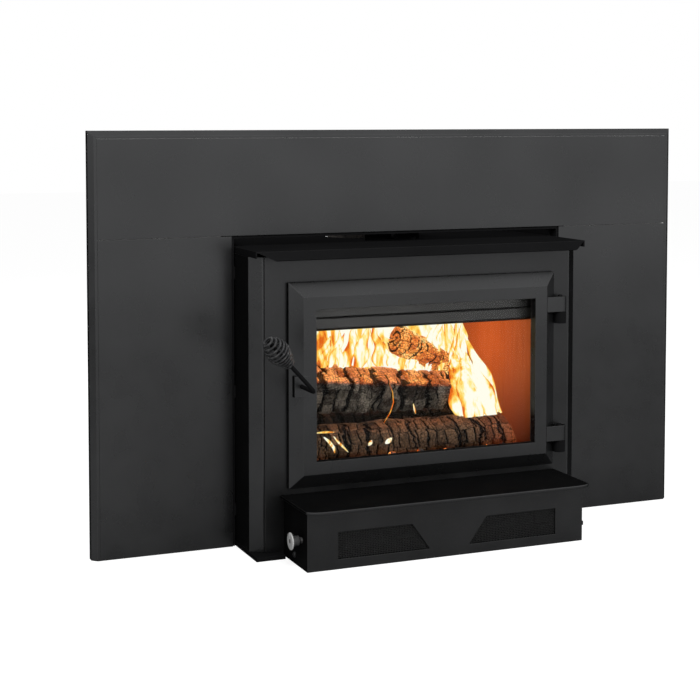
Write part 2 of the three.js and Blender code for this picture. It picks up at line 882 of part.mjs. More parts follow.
// ---------------------------------------------------------------- handle and latch
function makeHandleBoss(doorGroup) {
  const left = handle.x - 15;
  const right = handle.x + 15;
  const faceEdge = door.x - door.flat[0];
  const clear = 0.4;
  const outline = [
    [left, door.face - 1.2],
    [right, door.face - 1.2],
    [right, door.face - gap],
    [faceEdge, door.face - gap],
    [left, bevelDepth(left) - clear],
  ];
  const boss = prism('z', outline, [handle.z - 20, handle.z + 20])
    .subtract(rod('y', handle.bore, [door.face - 10, door.back], [handle.x, 0, handle.z], 16));
  place('handle_boss', boss, finishes.paint, doorGroup);
}

function makeHandle(group) {
  const pivot = new THREE.Vector3(handle.x, handle.bendFront, handle.z);
  const direction = new THREE.Vector3(...handle.direction).normalize();
  const bend = 14;
  const inner = new THREE.Vector3(handle.x, pawl.back + 2, handle.z);
  const beforeBend = pivot.clone().addScaledVector(alongY, bend);
  const afterBend = pivot.clone().addScaledVector(direction, bend);
  const rodLength = handle.gripStart + handle.gripLength - 6;
  const tip = pivot.clone().addScaledVector(direction, rodLength);
  const path = new THREE.CurvePath();
  path.add(new THREE.LineCurve3(inner, beforeBend));
  path.add(new THREE.QuadraticBezierCurve3(beforeBend, pivot, afterBend));
  path.add(new THREE.LineCurve3(afterBend, tip));
  const section = new THREE.Shape().absarc(0, 0, handle.rod, 0, 2 * Math.PI);
  const steps = 34;
  const swept = new THREE.ExtrudeGeometry(section, {
    extrudePath: path,
    steps,
    curveSegments: 5,
    bevelEnabled: false,
  });
  place('handle_rod', solidOf(swept), finishes.spring, group);

  const grip = coil();
  const mesh = place('handle_grip_coil', grip, finishes.spring, group);
  mesh.position.copy(pivot).addScaledVector(direction, handle.gripStart);
  mesh.quaternion.setFromUnitVectors(alongZ, direction);

  const at = [handle.x, 0, handle.z];
  const arm = block([handle.x - pawl.armHalf, handle.x + pawl.armHalf], [pawl.front, pawl.back],
    [handle.z, handle.z + pawl.arm]);
  const latch = rod('y', pawl.hub, [pawl.front, pawl.back], at, 20)
    .add(arm)
    .subtract(rod('y', pawl.bore, [pawl.front - 5, pawl.back + 5], at, 16));
  place('latch_pawl', latch, finishes.steel, group);
}

// How far the middle of the grip's wire stands from its axis: a slim neck, a full egg, a small tip.
function coilRadius(t) {
  const ends = handle.neckRadius + (handle.tipRadius - handle.neckRadius) * t;
  const egg = Math.sin(Math.PI * t ** 1.25) ** 1.15;
  return ends + (handle.gripRadius - handle.wire - ends) * egg;
}

function coilPoint(t) {
  const angle = 2 * Math.PI * handle.turns * t;
  const radius = coilRadius(t);
  const x = radius * Math.cos(angle);
  return new THREE.Vector3(x, radius * Math.sin(angle), handle.gripLength * t);
}

// One unbroken round wire, wound from the neck to the tip, with a short straight run at each end.
function coil() {
  const steps = handle.turns * handle.stepsPerTurn;
  const centres = [];
  for (let i = 0; i <= steps; i += 1) {
    centres.push(coilPoint(i / steps));
  }
  const firstRun = centres[0].clone().sub(centres[1]).setLength(2 * handle.wire);
  const lastRun = centres[steps].clone().sub(centres[steps - 1]).setLength(2 * handle.wire);
  centres.unshift(centres[0].clone().add(firstRun));
  centres.push(centres[steps + 1].clone().add(lastRun));

  const rings = centres.map((centre, i) => {
    const before = centres[Math.max(i - 1, 0)];
    const after = centres[Math.min(i + 1, centres.length - 1)];
    const tangent = after.clone().sub(before).normalize();
    const outward = new THREE.Vector3(centre.x, centre.y, 0);
    outward.addScaledVector(tangent, -outward.dot(tangent)).normalize();
    const across = tangent.clone().cross(outward);
    const points = [];
    for (let j = 0; j < handle.wireSides; j += 1) {
      const angle = (2 * Math.PI * j) / handle.wireSides;
      const point = centre.clone().addScaledVector(outward, handle.wire * Math.cos(angle));
      points.push(point.addScaledVector(across, handle.wire * Math.sin(angle)));
    }
    return points;
  });
  reportLeastGap('handle_grip_coil', centres, handle.wire, handle.stepsPerTurn);
  return skinned(rings);
}

// Measures the least gap of a wound wire to itself, on points along its middle.
function reportLeastGap(name, centres, radius, stepsPerTurn) {
  const dense = [];
  const perStep = 6;
  for (let i = 0; i < centres.length - 1; i += 1) {
    for (let k = 0; k < perStep; k += 1) {
      dense.push(centres[i].clone().lerp(centres[i + 1], k / perStep));
    }
  }
  const apart = Math.round(0.5 * stepsPerTurn * perStep);
  let least = Infinity;
  for (let i = 0; i < dense.length; i += 1) {
    for (let j = i + apart; j < dense.length; j += 1) {
      least = Math.min(least, dense[i].distanceTo(dense[j]));
    }
  }
  console.log(`${name}: least gap to itself ${(least - 2 * radius).toFixed(2)} mm`);
}

function makeKeeper() {
  const rear = body.frontFace + body.frontThick + gap;
  const edge = door.x - door.mouth[0];
  const wall = -(firebox.half - plate) + gap;
  const keeper = block([wall, edge - gap], [rear, rear + 1.6], [handle.z - 25, handle.z + 25]);
  place('latch_keeper', keeper, finishes.steel);
}

// ---------------------------------------------------------------- blower
function meshOutline(side) {
  const m = blower.mesh;
  return mirroredOutline([
    [m.outer, m.low],
    [m.bottomInner, m.low],
    [m.topInner, m.high],
    [m.outer, m.high],
  ], side);
}

function makeGrille(name, side) {
  const m = blower.mesh;
  const lap = blower.meshLap;
  const outline = mirroredOutline([
    [m.outer + lap, m.low - lap],
    [m.bottomInner - lap, m.low - lap],
    [m.topInner - lap, m.high + lap],
    [m.outer + lap, m.high + lap],
  ], side);
  const slant = (m.topInner - m.bottomInner) / (m.high - m.low);
  const halfHole = blower.meshHole / 2;
  const rows = Math.floor((m.high - m.low) / blower.meshPitch);
  const firstRow = (m.high + m.low) / 2 - ((rows - 1) * blower.meshPitch) / 2;
  const front = blower.front + sheet + gap;
  const holes = [];
  for (let row = 0; row < rows; row += 1) {
    const z = firstRow + row * blower.meshPitch;
    const nearest = m.bottomInner + slant * (z + halfHole - m.low) + 1.5;
    for (let x = m.outer - 2 - halfHole; x - halfHole > nearest; x -= blower.meshPitch) {
      const wide = ordered(side * (x - halfHole), side * (x + halfHole));
      holes.push(block(wide, [front - 1, front + 3], [z - halfHole, z + halfHole]));
    }
  }
  const net = prism('y', outline, [front, front + 1.5]).subtract(joined(holes));
  place(name, net, finishes.mesh);
  return holes.length;
}

function makeBlowerBox() {
  const rear = body.frontFace - gap;
  const inside = blower.half - sheet;
  const box = block([-blower.half, blower.half], [blower.front, rear], [0, blower.height])
    .subtract(block([-inside, inside], [blower.front + sheet, rear + 5],
      [sheet, blower.height - sheet]))
    .subtract(prism('y', meshOutline(-1), [blower.front - 5, blower.front + 5]))
    .subtract(prism('y', meshOutline(1), [blower.front - 5, blower.front + 5]))
    .subtract(rod('x', knob.bush + 0.4, [-blower.half - 5, -inside + 5], [0, knob.y, knob.z], 16))
    .subtract(rod('x', gland.radius - 1, [-blower.half - 5, -inside + 5], [0, gland.y, gland.z], 16));
  place('blower_housing', box, finishes.paint);

  const gapCount = makeGrille('grille_left', -1) + makeGrille('grille_right', 1);
  console.log(`grilles: ${gapCount} gaps`);

  // The shelf's front corners run back in a quarter of an ellipse; its edge is rounded.
  const round = 1.6;
  const cornerX = shelf.half - shelf.cornerWide;
  const cornerY = shelf.front + shelf.cornerDeep;
  const outline = new THREE.Shape();
  outline.moveTo(-shelf.half + round, rear + 10);
  outline.lineTo(-shelf.half + round, cornerY);
  const wide = shelf.cornerWide - round;
  const deep = shelf.cornerDeep - round;
  outline.absellipse(-cornerX, cornerY, wide, deep, Math.PI, 1.5 * Math.PI, false, 0);
  outline.absellipse(cornerX, cornerY, wide, deep, 1.5 * Math.PI, 2 * Math.PI, false, 0);
  outline.lineTo(shelf.half - round, rear + 10);
  const low = blower.height + gap;
  const pressed = new THREE.ExtrudeGeometry(outline, {
    depth: shelf.thick - 2 * round,
    bevelThickness: round,
    bevelSize: round,
    bevelSegments: 2,
    curveSegments: 8,
  });
  pressed.translate(0, 0, low + round);
  const shelfPlate = solidOf(pressed)
    .subtract(block([-400, 400], [rear, rear + 40], [low - 20, low + 40]));
  place('shelf_plate', shelfPlate, finishes.paint);
}

function makeFan(group) {
  // Built on the shaft's own axis and then set in its place.
  const solids = [rod('x', fan.shaft, [-fan.shaftEnd, fan.shaftEnd], [0, 0, 0], 12)];
  for (const side of [-1, 1]) {
    const disc = ordered(side * fan.start, side * (fan.start + 2.5));
    const rim = ordered(side * (fan.end - 3), side * fan.end);
    solids.push(rod('x', fan.radius, disc, [0, 0, 0], 32));
    solids.push(ring('x', fan.inner, fan.radius, rim, [0, 0, 0], 32));
    const length = ordered(side * (fan.start + 1), side * (fan.end - 1));
    for (let i = 0; i < fan.blades; i += 1) {
      const blade = new THREE.BoxGeometry(length[1] - length[0], 1.4, fan.radius - fan.inner - 1);
      blade.rotateX(0.5);
      blade.translate((length[0] + length[1]) / 2, 0, (fan.radius + fan.inner) / 2);
      blade.rotateX((2 * Math.PI * i) / fan.blades);
      solids.push(solidOf(blade));
    }
  }
  const mesh = place('fan_rotor', joined(solids), finishes.bright, group);
  mesh.position.set(0, fan.y, fan.z);

  const at = [0, fan.y, fan.z];
  const shell = [
    [fan.shaft + 0.6, -52],
    [12, -52],
    [12, -46],
    [30, -44],
    [34, -38],
    [34, 38],
    [30, 44],
    [12, 46],
    [12, 52],
    [fan.shaft + 0.6, 52],
    [fan.shaft + 0.6, -52],
  ];
  const feet = block([-32, 32], [fan.y - 24, fan.y + 24], [sheet + gap, 26])
    .subtract(rod('x', fan.shaft + 0.6, [-60, 60], at, 24));
  place('blower_motor', turned('x', shell, at, 24).add(feet), finishes.motor);
}

function makeControls(knobGroup) {
  const wall = -blower.half;
  const inside = wall + sheet;
  const face = wall - knob.reach;
  const at = [0, 0, 0];
  const shaftEnd = inside + 14;
  const profile = [
    [0, face],
    [knob.face - 1, face],
    [knob.face, face + 1],
    [knob.face, face + 3.5],
    [knob.hub, face + 5],
    [knob.hub, face + 17],
    [knob.shaft, face + 17],
    [knob.shaft, shaftEnd],
    [0, shaftEnd],
  ];
  const mark = block([face - 5, face + 1.2], [2, knob.face + 2], [-0.8, 0.8]);
  const turnedKnob = turned('x', profile, at, 28).subtract(mark);
  const mesh = place('speed_knob', turnedKnob, finishes.bright, knobGroup);
  mesh.position.set(0, knob.y, knob.z);

  const centre = [0, knob.y, knob.z];
  const bushEnd = wall - 5;
  const boreEnd = shaftEnd + 2;
  const controller = block([inside + gap, inside + 24], [knob.y - 12, knob.y + 12],
    [knob.z - 12, knob.z + 12])
    .add(rod('x', knob.bush, [bushEnd, inside + 2], centre, 16))
    .subtract(rod('x', knob.shaft + 0.5, [bushEnd - 5, boreEnd], centre, 16));
  place('speed_controller', controller, finishes.plastic);
  const nut = rod('x', 6, [wall - 4, wall - gap], centre, 6)
    .subtract(rod('x', knob.bush + 0.3, [wall - 10, wall + 5], centre, 16));
  place('knob_nut', nut, finishes.bright);

  const glandAt = [0, gland.y, gland.z];
  const stem = gland.radius - 1.3;
  const glandProfile = [
    [gland.bore, wall - 4],
    [gland.radius - 1.4, wall - 4],
    [gland.radius, wall - 2.5],
    [gland.radius, wall - gap],
    [stem, wall - gap],
    [stem, inside + 5],
    [gland.bore, inside + 5],
    [gland.bore, wall - 4],
  ];
  place('cord_gland', turned('x', glandProfile, glandAt, 18), finishes.plastic);
}

// ---------------------------------------------------------------- the whole insert
const doorGroup = new THREE.Group();
const handleGroup = new THREE.Group();
const fanGroup = new THREE.Group();
const knobGroup = new THREE.Group();
const airGroup = new THREE.Group();
insert.add(doorGroup, fanGroup, knobGroup, airGroup);
doorGroup.add(handleGroup);

makeFaceplate();
makeJacket();
makeCornice();
makeFrontPlate();
makeFirebox();
makeBricks();
makeAirSystem();
makeAirControl(airGroup);
makeLogs();
makeDoor(doorGroup);
makeHinges(doorGroup);
makeHandleBoss(doorGroup);
makeHandle(handleGroup);
makeKeeper();
makeBlowerBox();
makeFan(fanGroup);
makeControls(knobGroup);

export default insert;
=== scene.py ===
import math
import random

import bmesh
import bpy
from mathutils import Matrix, Vector, noise


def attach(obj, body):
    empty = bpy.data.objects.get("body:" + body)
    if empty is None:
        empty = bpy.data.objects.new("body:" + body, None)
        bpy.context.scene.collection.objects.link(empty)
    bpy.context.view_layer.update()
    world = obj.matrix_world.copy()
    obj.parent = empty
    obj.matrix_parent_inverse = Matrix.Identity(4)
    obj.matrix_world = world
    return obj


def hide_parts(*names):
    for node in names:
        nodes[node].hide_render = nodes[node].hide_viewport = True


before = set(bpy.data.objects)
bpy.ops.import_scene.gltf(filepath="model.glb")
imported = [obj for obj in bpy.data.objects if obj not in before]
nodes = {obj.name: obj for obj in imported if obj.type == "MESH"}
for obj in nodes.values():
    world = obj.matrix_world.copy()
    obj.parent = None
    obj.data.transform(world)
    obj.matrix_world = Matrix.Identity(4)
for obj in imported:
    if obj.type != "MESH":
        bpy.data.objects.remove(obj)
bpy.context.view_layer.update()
print("frame loaded,", len(nodes), "nodes")


# the photograph's own angle: nearly level, a little to the left
photoCamera = {
    "place": (-1.29895, -2.8529, 0.83432),
    "turnRight": 22.564,
    "tiltDown": 3.454,
    "lens": 80.65,
    "sensor": 36.0,
    "shiftY": -0.2,
}


def addObject(name, data):
    thing = bpy.data.objects.new(name, data)
    bpy.context.scene.collection.objects.link(thing)
    return thing


def setCamera(look):
    data = bpy.data.cameras.new("photoCamera")
    data.lens = look["lens"]
    data.sensor_width = look["sensor"]
    data.shift_y = look["shiftY"]
    camera = addObject("photoCamera", data)
    camera.location = look["place"]
    tilt = math.radians(90 - look["tiltDown"])
    camera.rotation_euler = (tilt, 0, math.radians(-look["turnRight"]))
    bpy.context.scene.camera = camera


setCamera(photoCamera)
bpy.context.scene.view_settings.view_transform = "Standard"
print("camera set")


# short ways to write a node tree: a socket given as a value is linked, anything else is set
def setSockets(tree, node, values):
    for name, value in values.items():
        socket = node.inputs[name]
        if isinstance(value, bpy.types.NodeSocket):
            tree.links.new(value, socket)
        elif socket.type == "RGBA":
            socket.default_value = (*value, 1)
        else:
            socket.default_value = value


def addNode(tree, kind, values=None, **settings):
    node = tree.nodes.new("ShaderNode" + kind)
    for name, value in settings.items():
        setattr(node, name, value)
    setSockets(tree, node, values or {})
    return node


def doMath(tree, operation, first, second=0.0, clamp=False):
    node = addNode(tree, "Math", {0: first, 1: second}, operation=operation)
    node.use_clamp = clamp
    return node.outputs[0]


def plus(tree, first, second, clamp=False):
    return doMath(tree, "ADD", first, second, clamp)


def times(tree, first, second, clamp=False):
    return doMath(tree, "MULTIPLY", first, second, clamp)


def mixColours(tree, factor, first, second):
    values = {0: factor, 6: first, 7: second}
    return addNode(tree, "Mix", values, data_type="RGBA").outputs[2]


def fit(tree, value, fromLow, fromHigh, toLow=0.0, toHigh=1.0):
    values = {0: value, 1: fromLow, 2: fromHigh, 3: toLow, 4: toHigh}
    return addNode(tree, "MapRange", values, clamp=True).outputs[0]


def ramp(tree, factor, stops):
    node = addNode(tree, "ValToRGB", {0: factor})
    elements = node.color_ramp.elements
    while len(elements) < len(stops):
        elements.new(0.5)
    for element, (place, colour) in zip(elements, stops):
        element.position = place
        element.color = (*colour, 1)
    return node.outputs[0]


def grain(tree, where, scale, detail=2.0, roughness=0.5, distortion=0.0):
    values = {"Vector": where, "Scale": scale, "Detail": detail, "Roughness": roughness}
    values["Distortion"] = distortion
    return addNode(tree, "TexNoise", values).outputs[0]


def stretched(tree, where, amounts):
    values = {0: where, 1: amounts}
    return addNode(tree, "VectorMath", values, operation="MULTIPLY").outputs[0]


def bumped(tree, height, strength, distance, under=None):
    values = {"Height": height, "Strength": strength, "Distance": distance}
    if under is not None:
        values["Normal"] = under
    return addNode(tree, "Bump", values).outputs[0]


def startMaterial(name):
    material = bpy.data.materials.new(name)
    material.use_nodes = True
    tree = material.node_tree
    shader = tree.nodes["Principled BSDF"]
    where = addNode(tree, "TexCoord").outputs["Object"]
    return material, tree, shader, where


# satin stove paint, worn a little paler along its folds; it goes black where it is seen edge on
charcoalLook = {
    "colour": (0.0635, 0.0642, 0.0655),
    "edge": (0.15, 0.15, 0.15),
    "roughness": (0.25, 0.33),
    "metal": 0.9,
    "specular": 0.0,
    "edgeTint": (0.22, 0.22, 0.22),
    "toothSize": 0.0009,
    "tooth": 0.06,
    "edgeWidth": 0.0012,
}
# the same paint made darker and a little rougher, for the front plate round the fire door, the blower
# housing and the shelf
darkerSatinLook = {**charcoalLook, "colour": (0.05, 0.0505, 0.0515), "roughness": (0.28, 0.38)}
shieldLook = {**charcoalLook, "colour": (0.054, 0.0535, 0.053), "roughness": (0.34, 0.42), "edgeWidth": 0}
# near-black paint with no gloss: partly the own black of the hinge pins, rods and air shutter, partly
# painted shade on the cornice, the jacket top, the base plate, the opening frame and the hinge brackets,
# where they lie in shadow
blackAndShadeLook = {
    "colour": (0.011, 0.011, 0.0115),
    "edge": (0.04, 0.04, 0.04),
    "roughness": (0.5, 0.6),
    "metal": 0.0,
    "specular": 0.0,
    "edgeTint": (0.2, 0.2, 0.2),
    "toothSize": 0.0012,
    "tooth": 0.15,
    "edgeWidth": 0.001,
}
# near-black for the blower's motor and fan: partly their black enamel, partly painted shade for the dark
# inside of the blower housing
enamelAndShadeLook = {
    "colour": (0.008, 0.0082, 0.0085),
    "edge": (0.03, 0.03, 0.03),
    "roughness": (0.4, 0.5),
    "metal": 0.0,
    "specular": 0.1,
    "edgeTint": (1.0, 1.0, 1.0),
    "toothSize": 0.0015,
    "tooth": 0.1,
    "edgeWidth": 0.0006,
}


def makePaint(name, look):
    material, tree, shader, where = startMaterial(name)
    cloud = grain(tree, where, 4.5, 4, 0.55)
    speck = grain(tree, where, 1 / look["toothSize"], 1)
    pale = [channel * 1.13 for channel in look["colour"]]
    deep = [channel * 0.89 for channel in look["colour"]]
    body = mixColours(tree, fit(tree, cloud, 0.3, 0.7), deep, pale)
    body = mixColours(tree, fit(tree, speck, 0.62, 0.8, 0, 0.3), body, look["edge"])
    rounded = None
    if look["edgeWidth"]:
        bevel = addNode(tree, "Bevel", {"Radius": look["edgeWidth"]}, samples=4)
        rounded = bevel.outputs[0]
        flat = addNode(tree, "NewGeometry").outputs["Normal"]
        along = addNode(tree, "VectorMath", {0: rounded, 1: flat}, operation="DOT_PRODUCT")
        wear = fit(tree, along.outputs["Value"], 0.985, 0.9, 0, 0.5)
        body = mixColours(tree, wear, body, look["edge"])
    rubbed = grain(tree, where, 18, 3)
    low, high = look["roughness"]
    normal = bumped(tree, speck, look["tooth"], 0.0002, rounded)
    setSockets(tree, shader, {
        "Base Color": body,
        "Metallic": look["metal"],
        "Roughness": fit(tree, rubbed, 0.3, 0.7, low, high),
        "Specular IOR Level": look["specular"],
        "Specular Tint": look["edgeTint"],
        "Normal": normal,
    })
    return material


# zinc-coated sheet with its crystals
zincLook = {"dark": (0.2, 0.21, 0.215), "pale": (0.42, 0.43, 0.44), "crystal": 75}


def makeZinc(name, look):
    material, tree, shader, where = startMaterial(name)
    values = {"Vector": where, "Scale": look["crystal"]}
    crystals = addNode(tree, "TexVoronoi", values).outputs["Color"]
    tone = addNode(tree, "SeparateColor", {0: crystals}).outputs[0]
    stain = grain(tree, where, 5, 4)
    values = {0: tone, 1: 0.5, 2: 0.15}
    shade = addNode(tree, "Math", values, operation="MULTIPLY_ADD").outputs[0]
    shade = times(tree, shade, fit(tree, stain, 0.3, 0.7, 0.7, 1.2), True)
    setSockets(tree, shader, {
        "Base Color": mixColours(tree, shade, look["dark"], look["pale"]),
        "Metallic": 0.9,
        "Roughness": fit(tree, tone, 0, 1, 0.36, 0.52),
        "Normal": bumped(tree, grain(tree, where, 40, 2), 0.1, 0.0006),
    })
    return material


# firebox plate, browned and blued by heat, with soot on it
plateLook = {"steel": (0.075, 0.073, 0.072), "brown": (0.105, 0.09, 0.078), "soot": (0.012, 0.012, 0.012)}


def makeHotPlate(name, look):
    material, tree, shader, where = startMaterial(name)
    patches = grain(tree, where, 7, 5, 0.6, 0.4)
    colour = mixColours(tree, fit(tree, patches, 0.42, 0.62), look["steel"], look["brown"])
    soot = fit(tree, grain(tree, where, 22, 6, 0.65), 0.45, 0.62)
    colour = mixColours(tree, soot, colour, look["soot"])
    scale = grain(tree, where, 420, 3)
    setSockets(tree, shader, {
        "Base Color": colour,
        "Metallic": fit(tree, soot, 0, 1, 0.6, 0.1),
        "Roughness": fit(tree, soot, 0, 1, 0.5, 0.85),
        "Normal": bumped(tree, scale, 0.25, 0.0004),
    })
    return material


# firebrick: pores, soot, and the light of the fire on it, painted in as a glow
# the glow colours and strength are painted firelight: bright near the fire's heart, deep red far from it
brickLook = {
    "clay": (0.17, 0.068, 0.027),
    "paleClay": (0.27, 0.12, 0.052),
    "soot": (0.02, 0.012, 0.008),
    "glow": (0.95, 0.13, 0.014),
    "deepFirelight": (0.04, 0.0035, 0.0006),
    "heart": (0.25, 0.12, 0.36),
    "near": 0.04,
    "far": 0.27,
    "firelightStrength": 0.44,
    "darkBelow": 0.17,
    "clearAbove": 0.42,
}


def makeBrick(name, look):
    material, tree, shader, where = startMaterial(name)
    cloud = grain(tree, where, 9, 5, 0.6)
    colour = mixColours(tree, fit(tree, cloud, 0.3, 0.7), look["clay"], look["paleClay"])
    pores = addNode(tree, "TexVoronoi", {"Vector": where, "Scale": 260}).outputs["Distance"]
    hole = fit(tree, pores, 0.12, 0.3, 1, 0)
    streaks = grain(tree, stretched(tree, where, (1, 30, 3)), 3, 5, 0.6)
    soot = fit(tree, streaks, 0.5, 0.75, 0, 0.3)
    colour = mixColours(tree, soot, colour, look["soot"])
    colour = mixColours(tree, times(tree, hole, 0.5), colour, look["soot"])
    # painted firelight: the walls glow brightest near the fire's heart and fade with distance; heat and glow
    # here carry that painted light
    values = {0: where, 1: look["heart"]}
    away = addNode(tree, "VectorMath", values, operation="DISTANCE").outputs["Value"]
    heat = fit(tree, away, look["near"], look["far"], 1, 0)
    lit = times(tree, heat, fit(tree, streaks, 0.3, 0.75, 1.05, 0.9))
    glow = mixColours(tree, lit, look["deepFirelight"], look["glow"])
    # darker towards the bottom of the walls, mixed towards the soot colour
    height = addNode(tree, "SeparateXYZ", {0: where}).outputs[2]
    low = fit(tree, height, look["darkBelow"], look["clearAbove"], 0.95, 0)
    colour = mixColours(tree, low, colour, look["soot"])
    bump = doMath(tree, "SUBTRACT", grain(tree, where, 130, 4), hole)
    setSockets(tree, shader, {
        "Base Color": colour,
        "Roughness": 0.92,
        "Specular IOR Level": 0.2,
        "Emission Color": glow,
        "Emission Strength": look["firelightStrength"],
        "Normal": bumped(tree, bump, 0.5, 0.0008),
    })
    return material


# pressed fibre board, scorched in patches
boardLook = {"pale": (0.62, 0.58, 0.5), "dark": (0.36, 0.3, 0.24)}


def makeBoard(name, look):
    material, tree, shader, where = startMaterial(name)
    fibres = grain(tree, stretched(tree, where, (60, 380, 380)), 1, 4, 0.7)
    scorch = grain(tree, where, 6, 4)
    colour = mixColours(tree, fit(tree, fibres, 0.3, 0.7, 0, 0.4), look["pale"], look["dark"])
    colour = mixColours(tree, fit(tree, scorch, 0.45, 0.7), colour, look["dark"])
    setSockets(tree, shader, {
        "Base Color": colour,
        "Roughness": 0.95,
        "Specular IOR Level": 0.15,
        "Normal": bumped(tree, fibres, 0.5, 0.0006),
    })
    return material


# braided glass-fibre rope: two sets of strands crossing
ropeLook = {"strand": (0.05, 0.05, 0.052), "fleck": (0.16, 0.155, 0.15), "strandSize": 0.0022}


def makeRope(name, look):
    material, tree, shader, where = startMaterial(name)
    turns = 1 / look["strandSize"]
    heights = []
    for lean in (1, -1):
        axis = addNode(tree, "SeparateXYZ", {0: where})
        slope = times(tree, axis.outputs[1], 1.4 * lean)
        line = plus(tree, axis.outputs[0], axis.outputs[2])
        line = times(tree, plus(tree, line, slope), turns * 2.2)
        heights.append(doMath(tree, "ABSOLUTE", doMath(tree, "SINE", line)))
    braid = doMath(tree, "MAXIMUM", heights[0], heights[1])
    fuzz = grain(tree, where, 900, 2)
    colour = mixColours(tree, fit(tree, fuzz, 0.5, 0.8, 0, 0.6), look["strand"], look["fleck"])
    setSockets(tree, shader, {
        "Base Color": colour,
        "Roughness": 0.95,
        "Sheen Weight": 0.3,
        "Normal": bumped(tree, braid, 0.8, 0.001),
    })
    return material


# ceramic glass, kept clear by the air that washes down it
glassLook = {"tint": (0.97, 0.97, 0.96), "roughness": 0.015, "haze": 0.05, "bend": 1.12}


def makeGlass(name, look):
    material, tree, shader, where = startMaterial(name)
    haze = grain(tree, where, 6, 4)
    setSockets(tree, shader, {
        "Base Color": look["tint"],
        "Roughness": fit(tree, haze, 0.45, 0.8, look["roughness"], look["haze"]),
        "IOR": look["bend"],
        "Transmission Weight": 1.0,
    })
    return material


# drawn metal: the blackened spring, the dull hub and nut of the knob, the black mesh
wireLook = {
    "colour": (0.034, 0.034, 0.036),
    "worn": (0.2, 0.2, 0.197),
    "roughness": (0.2, 0.38),
    "metal": 0.6,
}
dullLook = {
    "colour": (0.12, 0.12, 0.12),
    "worn": (0.3, 0.3, 0.29),
    "roughness": (0.35, 0.5),
    "metal": 0.5,
}
meshLook = {
    "colour": (0.011, 0.011, 0.011),
    "worn": (0.04, 0.04, 0.04),
    "roughness": (0.3, 0.45),
    "metal": 0.0,
}


def makeWire(name, look):
    material, tree, shader, where = startMaterial(name)
    cloud = grain(tree, where, 160, 4, 0.6)
    scratch = grain(tree, stretched(tree, where, (400, 400, 2600)), 1, 2)
    worn = times(tree, fit(tree, cloud, 0.5, 0.7), 0.5)
    low, high = look["roughness"]
    setSockets(tree, shader, {
        "Base Color": mixColours(tree, worn, look["colour"], look["worn"]),
        "Metallic": look["metal"],
        "Roughness": fit(tree, scratch, 0.3, 0.7, low, high),
        "Normal": bumped(tree, scratch, 0.12, 0.0001),
    })
    return material


# satin metal of the knob: pale from every side
brightLook = {"pale": (0.86, 0.86, 0.85), "dark": (0.62, 0.62, 0.61)}


def makeBright(name, look):
    material, tree, shader, where = startMaterial(name)
    lines = grain(tree, stretched(tree, where, (300, 4200, 4200)), 1, 3, 0.6)
    smudge = grain(tree, where, 90, 3)
    tone = times(tree, lines, fit(tree, smudge, 0.3, 0.7, 0.7, 1.2), True)
    setSockets(tree, shader, {
        "Base Color": mixColours(tree, tone, look["dark"], look["pale"]),
        "Metallic": 0.35,
        "Roughness": fit(tree, smudge, 0.3, 0.7, 0.38, 0.5),
        "Normal": bumped(tree, lines, 0.1, 0.0001),
    })
    return material


# moulded plastic with a fine grain
plasticLook = {"colour": (0.012, 0.012, 0.013), "grainSize": 0.0006}


def makePlastic(name, look):
    material, tree, shader, where = startMaterial(name)
    values = {"Vector": where, "Scale": 1 / look["grainSize"]}
    pebble = addNode(tree, "TexVoronoi", values).outputs[0]
    cloud = grain(tree, where, 60, 3)
    pale = [channel * 1.8 for channel in look["colour"]]
    setSockets(tree, shader, {
        "Base Color": mixColours(tree, cloud, look["colour"], pale),
        "Roughness": fit(tree, cloud, 0.3, 0.7, 0.42, 0.6),
        "Normal": bumped(tree, pebble, 0.3, 0.0001),
    })
    return material


# charred wood: black in its cracks, grey ash on the blocks, orange where the fire heats it
charLook = {
    "char": (0.007, 0.006, 0.005),
    "brown": (0.05, 0.036, 0.027),
    "wobble": (0.007, 0.007, 0.007),
    "checks": (150, 175, 175),
    "heated": [
        (0.0, (0.05, 0.004, 0.001)),
        (0.3, (0.22, 0.035, 0.006)),
        (0.55, (0.62, 0.14, 0.024)),
        (0.8, (1.0, 0.36, 0.07)),
        (1.0, (1.0, 0.68, 0.24)),
    ],
}


